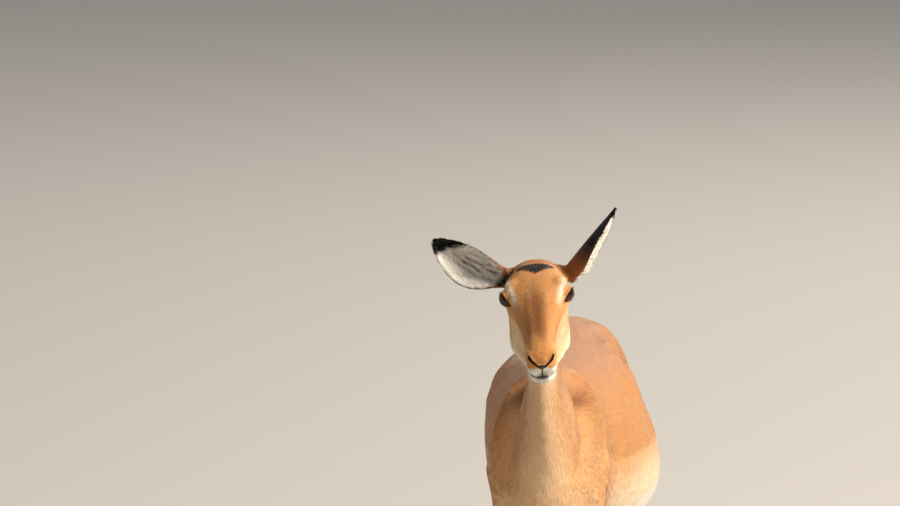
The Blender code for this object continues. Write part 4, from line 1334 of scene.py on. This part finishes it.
def add_coat(surface, found, flow, curve, materials):
    """Short hair all over, in pieces by region, and the longer hair of the ears, tail, eyes and feet."""
    body = (surface, found)
    own, folded = found["own"], found["folded"]
    muzzle = smooth(-0.16, -0.24, own[:, 1]) * found["head"]
    lips = smooth(-0.235, -0.255, own[:, 1]) * smooth(-0.022, -0.030, own[:, 2]) * found["head"]
    jaw = smooth(-0.04, -0.07, own[:, 2]) * found["head"]
    belly = smooth(0.60, 0.52, surface.points[:, 2]) * (1 - found["leg"])
    throat = smooth(0.3, 0.9, -surface.normals[:, 1]) * smooth(0.70, 0.78, surface.points[:, 2])
    near_eye = hump(np.linalg.norm(folded - EYE_PLACE, axis=1), 0.030) * found["head"]
    rows = {region: (*sizes, 1e6 / skin) for region, (*sizes, skin) in SHORT_COAT.items()}
    length, width, rise, number = (
        by_region(found, **{region: row[k] for region, row in rows.items()}) for k in range(4)
    )
    length = length * (1 - 0.45 * muzzle) * (1 + 0.5 * jaw)
    short = {
        "ways": flow,
        "length": length * (1 + 0.25 * belly) * (1 - 0.40 * near_eye) * (1 - 0.35 * lips),
        "width": width * (1 - 0.30 * muzzle) * (1 - 0.25 * near_eye),
        "rise": rise * (1 + 0.5 * belly + 0.3 * throat),
        "number": number * (1 + 0.75 * muzzle) * (1 - found["tail"]) * (1 + 0.5 * near_eye),
        "curve": curve,
    }

    def by_face(values):
        return values[surface.faces].mean(axis=1)

    centres = surface.points[surface.faces].mean(axis=1)
    x, y, _ = centres.T
    on_head, on_ear, on_leg = (by_face(found[key]) > 0.5 for key in ("head", "ear", "leg"))
    ahead = by_face(own[:, 1]) < -0.105
    bulk = ~(on_head | on_ear | on_leg)
    neck = bulk & (beyond(centres, NECK_ROOT) > 0)
    trunk = bulk & ~neck
    left, fore, own_left = x > 0, y < 0.15, by_face(own[:, 0]) > 0
    parts = {
        "coat_face_left": on_head & ahead & own_left,
        "coat_face_right": on_head & ahead & ~own_left,
        "coat_skull": on_head & ~ahead,
        "coat_ear_left": on_ear & left,
        "coat_ear_right": on_ear & ~left,
        "coat_neck": neck,
        "coat_leg_front_left": on_leg & left & fore,
        "coat_leg_front_right": on_leg & ~left & fore,
        "coat_leg_hind_left": on_leg & left & ~fore,
        "coat_leg_hind_right": on_leg & ~left & ~fore,
        "coat_shoulder_left": trunk & left & fore,
        "coat_shoulder_right": trunk & ~left & fore,
        "coat_haunch_left": trunk & left & ~fore,
        "coat_haunch_right": trunk & ~left & ~fore,
    }
    for seed, (name, keep) in enumerate(parts.items()):
        slot = "ear_coat" if "ear" in name else "leg_coat" if "leg" in name else "coat"
        material = materials["body" if slot == "coat" and not on_head[keep].any() else "fine"]
        grow_on(name, keep, seed + 11, 0, short, body, material, slot)

    def long_hair(length, width, rise, skin, ways=flow):
        every = np.ones(len(flow))
        return {
            "ways": ways, "length": length * every, "width": width * every, "rise": rise * every,
            "number": every / (skin * 1e-6), "curve": curve * 0.3,
        }

    fine = materials["fine"]
    for seed, side_name in enumerate(SIDES):
        root, along, opening, across = EARS[side_name]
        ray = surface.points - root
        wide = ray @ across
        inwards = along + opening * 0.25 - across * (0.8 * np.clip(wide / 0.02, -1, 1))[:, None]
        share = by_face(ray @ along) / EAR_LENGTH
        lining = (by_face(found["inner"]) > 0.5) & (by_face(found["ears"][side_name]) > 0.5)
        lining &= (share > 0.14) & (share < 0.74)
        hair = long_hair(*EAR_HAIR, inwards)
        hair["length"] = hair["length"] * (1.1 - 0.5 * smooth(0.010, 0.030, np.abs(wide)))
        grow_on(f"hair_in_ear_{side_name}", lining, seed + 31, 1, hair, body, fine, "ear_coat", 0.12, 0.18)

        distance, edge, lift, _ = eye_view(folded)
        margin = (distance < 0.026) & (edge > -0.03) & (edge < 0.07) & (lift > 0.10)
        margin &= own[:, 0] * SIDES[side_name] > 0
        upper = by_face(margin.astype(float)) > 0.6
        lashes = long_hair(*LASHES)
        grow_on(f"lashes_{side_name}", upper, seed + 41, 2, lashes, body, fine, "coat", 0.9, 0.10, BLACK)

    tail = by_face(found["tail"]) > 0.5
    splayed = flow + surface.normals * np.array((0.35, 0.0, 0.0))
    switch = long_hair(*TAIL_HAIR, splayed)
    grow_on("hair_of_tail", tail, 51, 2, switch, body, materials["body"], "coat", 0.16, 0.10)
    spot = np.abs(surface.points) * (1, 0, 0) + surface.points * (0, 1, 1)
    behind = by_face(bump(spot, GLAND, (0.016, 0.014, 0.028))) > 0.45
    tufts = long_hair(*FETLOCK_HAIR)
    grow_on("fetlock_tufts", behind, 61, 1, tufts, body, fine, "leg_coat", 0.30, 0.18, BLACK)




# ---------------------------------------------------------------- floor, light and camera

def add_studio():
    bpy.ops.object.select_all(action="DESELECT")
    bpy.ops.mesh.primitive_plane_add(size=80.0, location=(0, 0, 0))
    floor = bpy.context.object
    floor.name = "studio_floor"
    made, _, shader = finish("pale_floor", 0.8, specular=0.2)
    shader.inputs["Base Color"].default_value = (0.62, 0.58, 0.52, 1)
    floor.data.materials.append(made)
    world = bpy.data.worlds.new("studio")
    bpy.context.scene.world = world
    world.use_nodes = True
    back = world.node_tree.nodes["Background"]
    back.inputs["Color"].default_value = (0.94, 0.95, 1.0, 1)
    back.inputs["Strength"].default_value = 0.31
    for name, spot, power, size, colour in LIGHTS:
        data = bpy.data.lights.new(name, "AREA")
        data.shape = "DISK"
        data.energy, data.size, data.color = power, size, colour
        lamp = bpy.data.objects.new(name, data)
        bpy.context.collection.objects.link(lamp)
        lamp.location = spot
        lamp.rotation_euler = (LIT_POINT - lamp.location).to_track_quat("-Z", "Y").to_euler()


LIT_POINT = Vector((0.0, -0.2, 0.8))
LIGHTS = (
    # name, place, watts, size, colour
    ("key", (7.8, -4.2, 5.8), 1620, 2.6, (1.0, 0.93, 0.84)),
    ("fill", (-7.0, -6.0, 5.0), 100, 5.0, (1.0, 0.95, 0.90)),
    ("rim", (3.0, 8.0, 7.0), 420, 4.0, (1.0, 0.95, 0.88)),
)

VIEW_AZIMUTH = math.radians(5.4)
VIEW_ELEVATION = math.radians(9.2)
VIEW_DISTANCE = 10.0
VIEW_LENS = 224.0
LEFT_OF_EYES = 0.155  # where the middle of the view lies from the eyes
OVER_EYES = 0.077


def add_camera():
    azimuth, level = VIEW_AZIMUTH, math.cos(VIEW_ELEVATION)
    back = Vector((math.sin(azimuth) * level, -math.cos(azimuth) * level, math.sin(VIEW_ELEVATION)))
    right = Vector((math.cos(azimuth), math.sin(azimuth), 0.0))
    up = back.cross(right)
    data = bpy.data.cameras.new("camera")
    data.lens = VIEW_LENS
    data.sensor_width = 36.0
    data.clip_end = 200.0
    camera = bpy.data.objects.new("camera", data)
    bpy.context.collection.objects.link(camera)
    camera.location = Vector(EYE_POINT) - right * LEFT_OF_EYES + up * OVER_EYES + back * VIEW_DISTANCE
    camera.rotation_euler = (-back).to_track_quat("-Z", "Y").to_euler()
    bpy.context.scene.camera = camera


# ---------------------------------------------------------------- assembly

def main():
    bpy.context.scene.view_settings.view_transform = "Standard"
    skin, surface, found = build_skin()
    found["inner"] = inner_side(surface.points, surface.normals, found)
    flow = lie(surface, found)
    curve = bend(surface, flow)
    # the skin's markings are a little darker than the hair's
    paint(skin.data, marking(surface.points, surface.normals, found) * 0.9)
    layer = skin.data.attributes.new("bare", "FLOAT", "POINT")
    layer.data.foreach_set("value", bare(surface.points, found).astype(np.float32))
    shade_smooth(skin.data)
    wear(skin, skin_finish(), "coat", *FLESH)
    materials = {
        "body": coat_finish("body_hair", 0.55, 0.36, 0.25, 40.0, (8.0, 1.0, 8.0)),
        "fine": coat_finish("fine_hair", 0.60, 0.0, 0.02, 90.0, (4.0, 1.0, 4.0)),
    }
    add_coat(surface, found, flow, curve, materials)
    eye = eye_finish()
    for side_name in SIDES:
        add_eye(side_name, eye)
    horn = horn_finish()
    for name in [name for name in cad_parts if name.startswith("hoof")]:
        add_hoof(name, horn)
    add_studio()
    add_camera()


main()
bpy.context.view_layer.update()
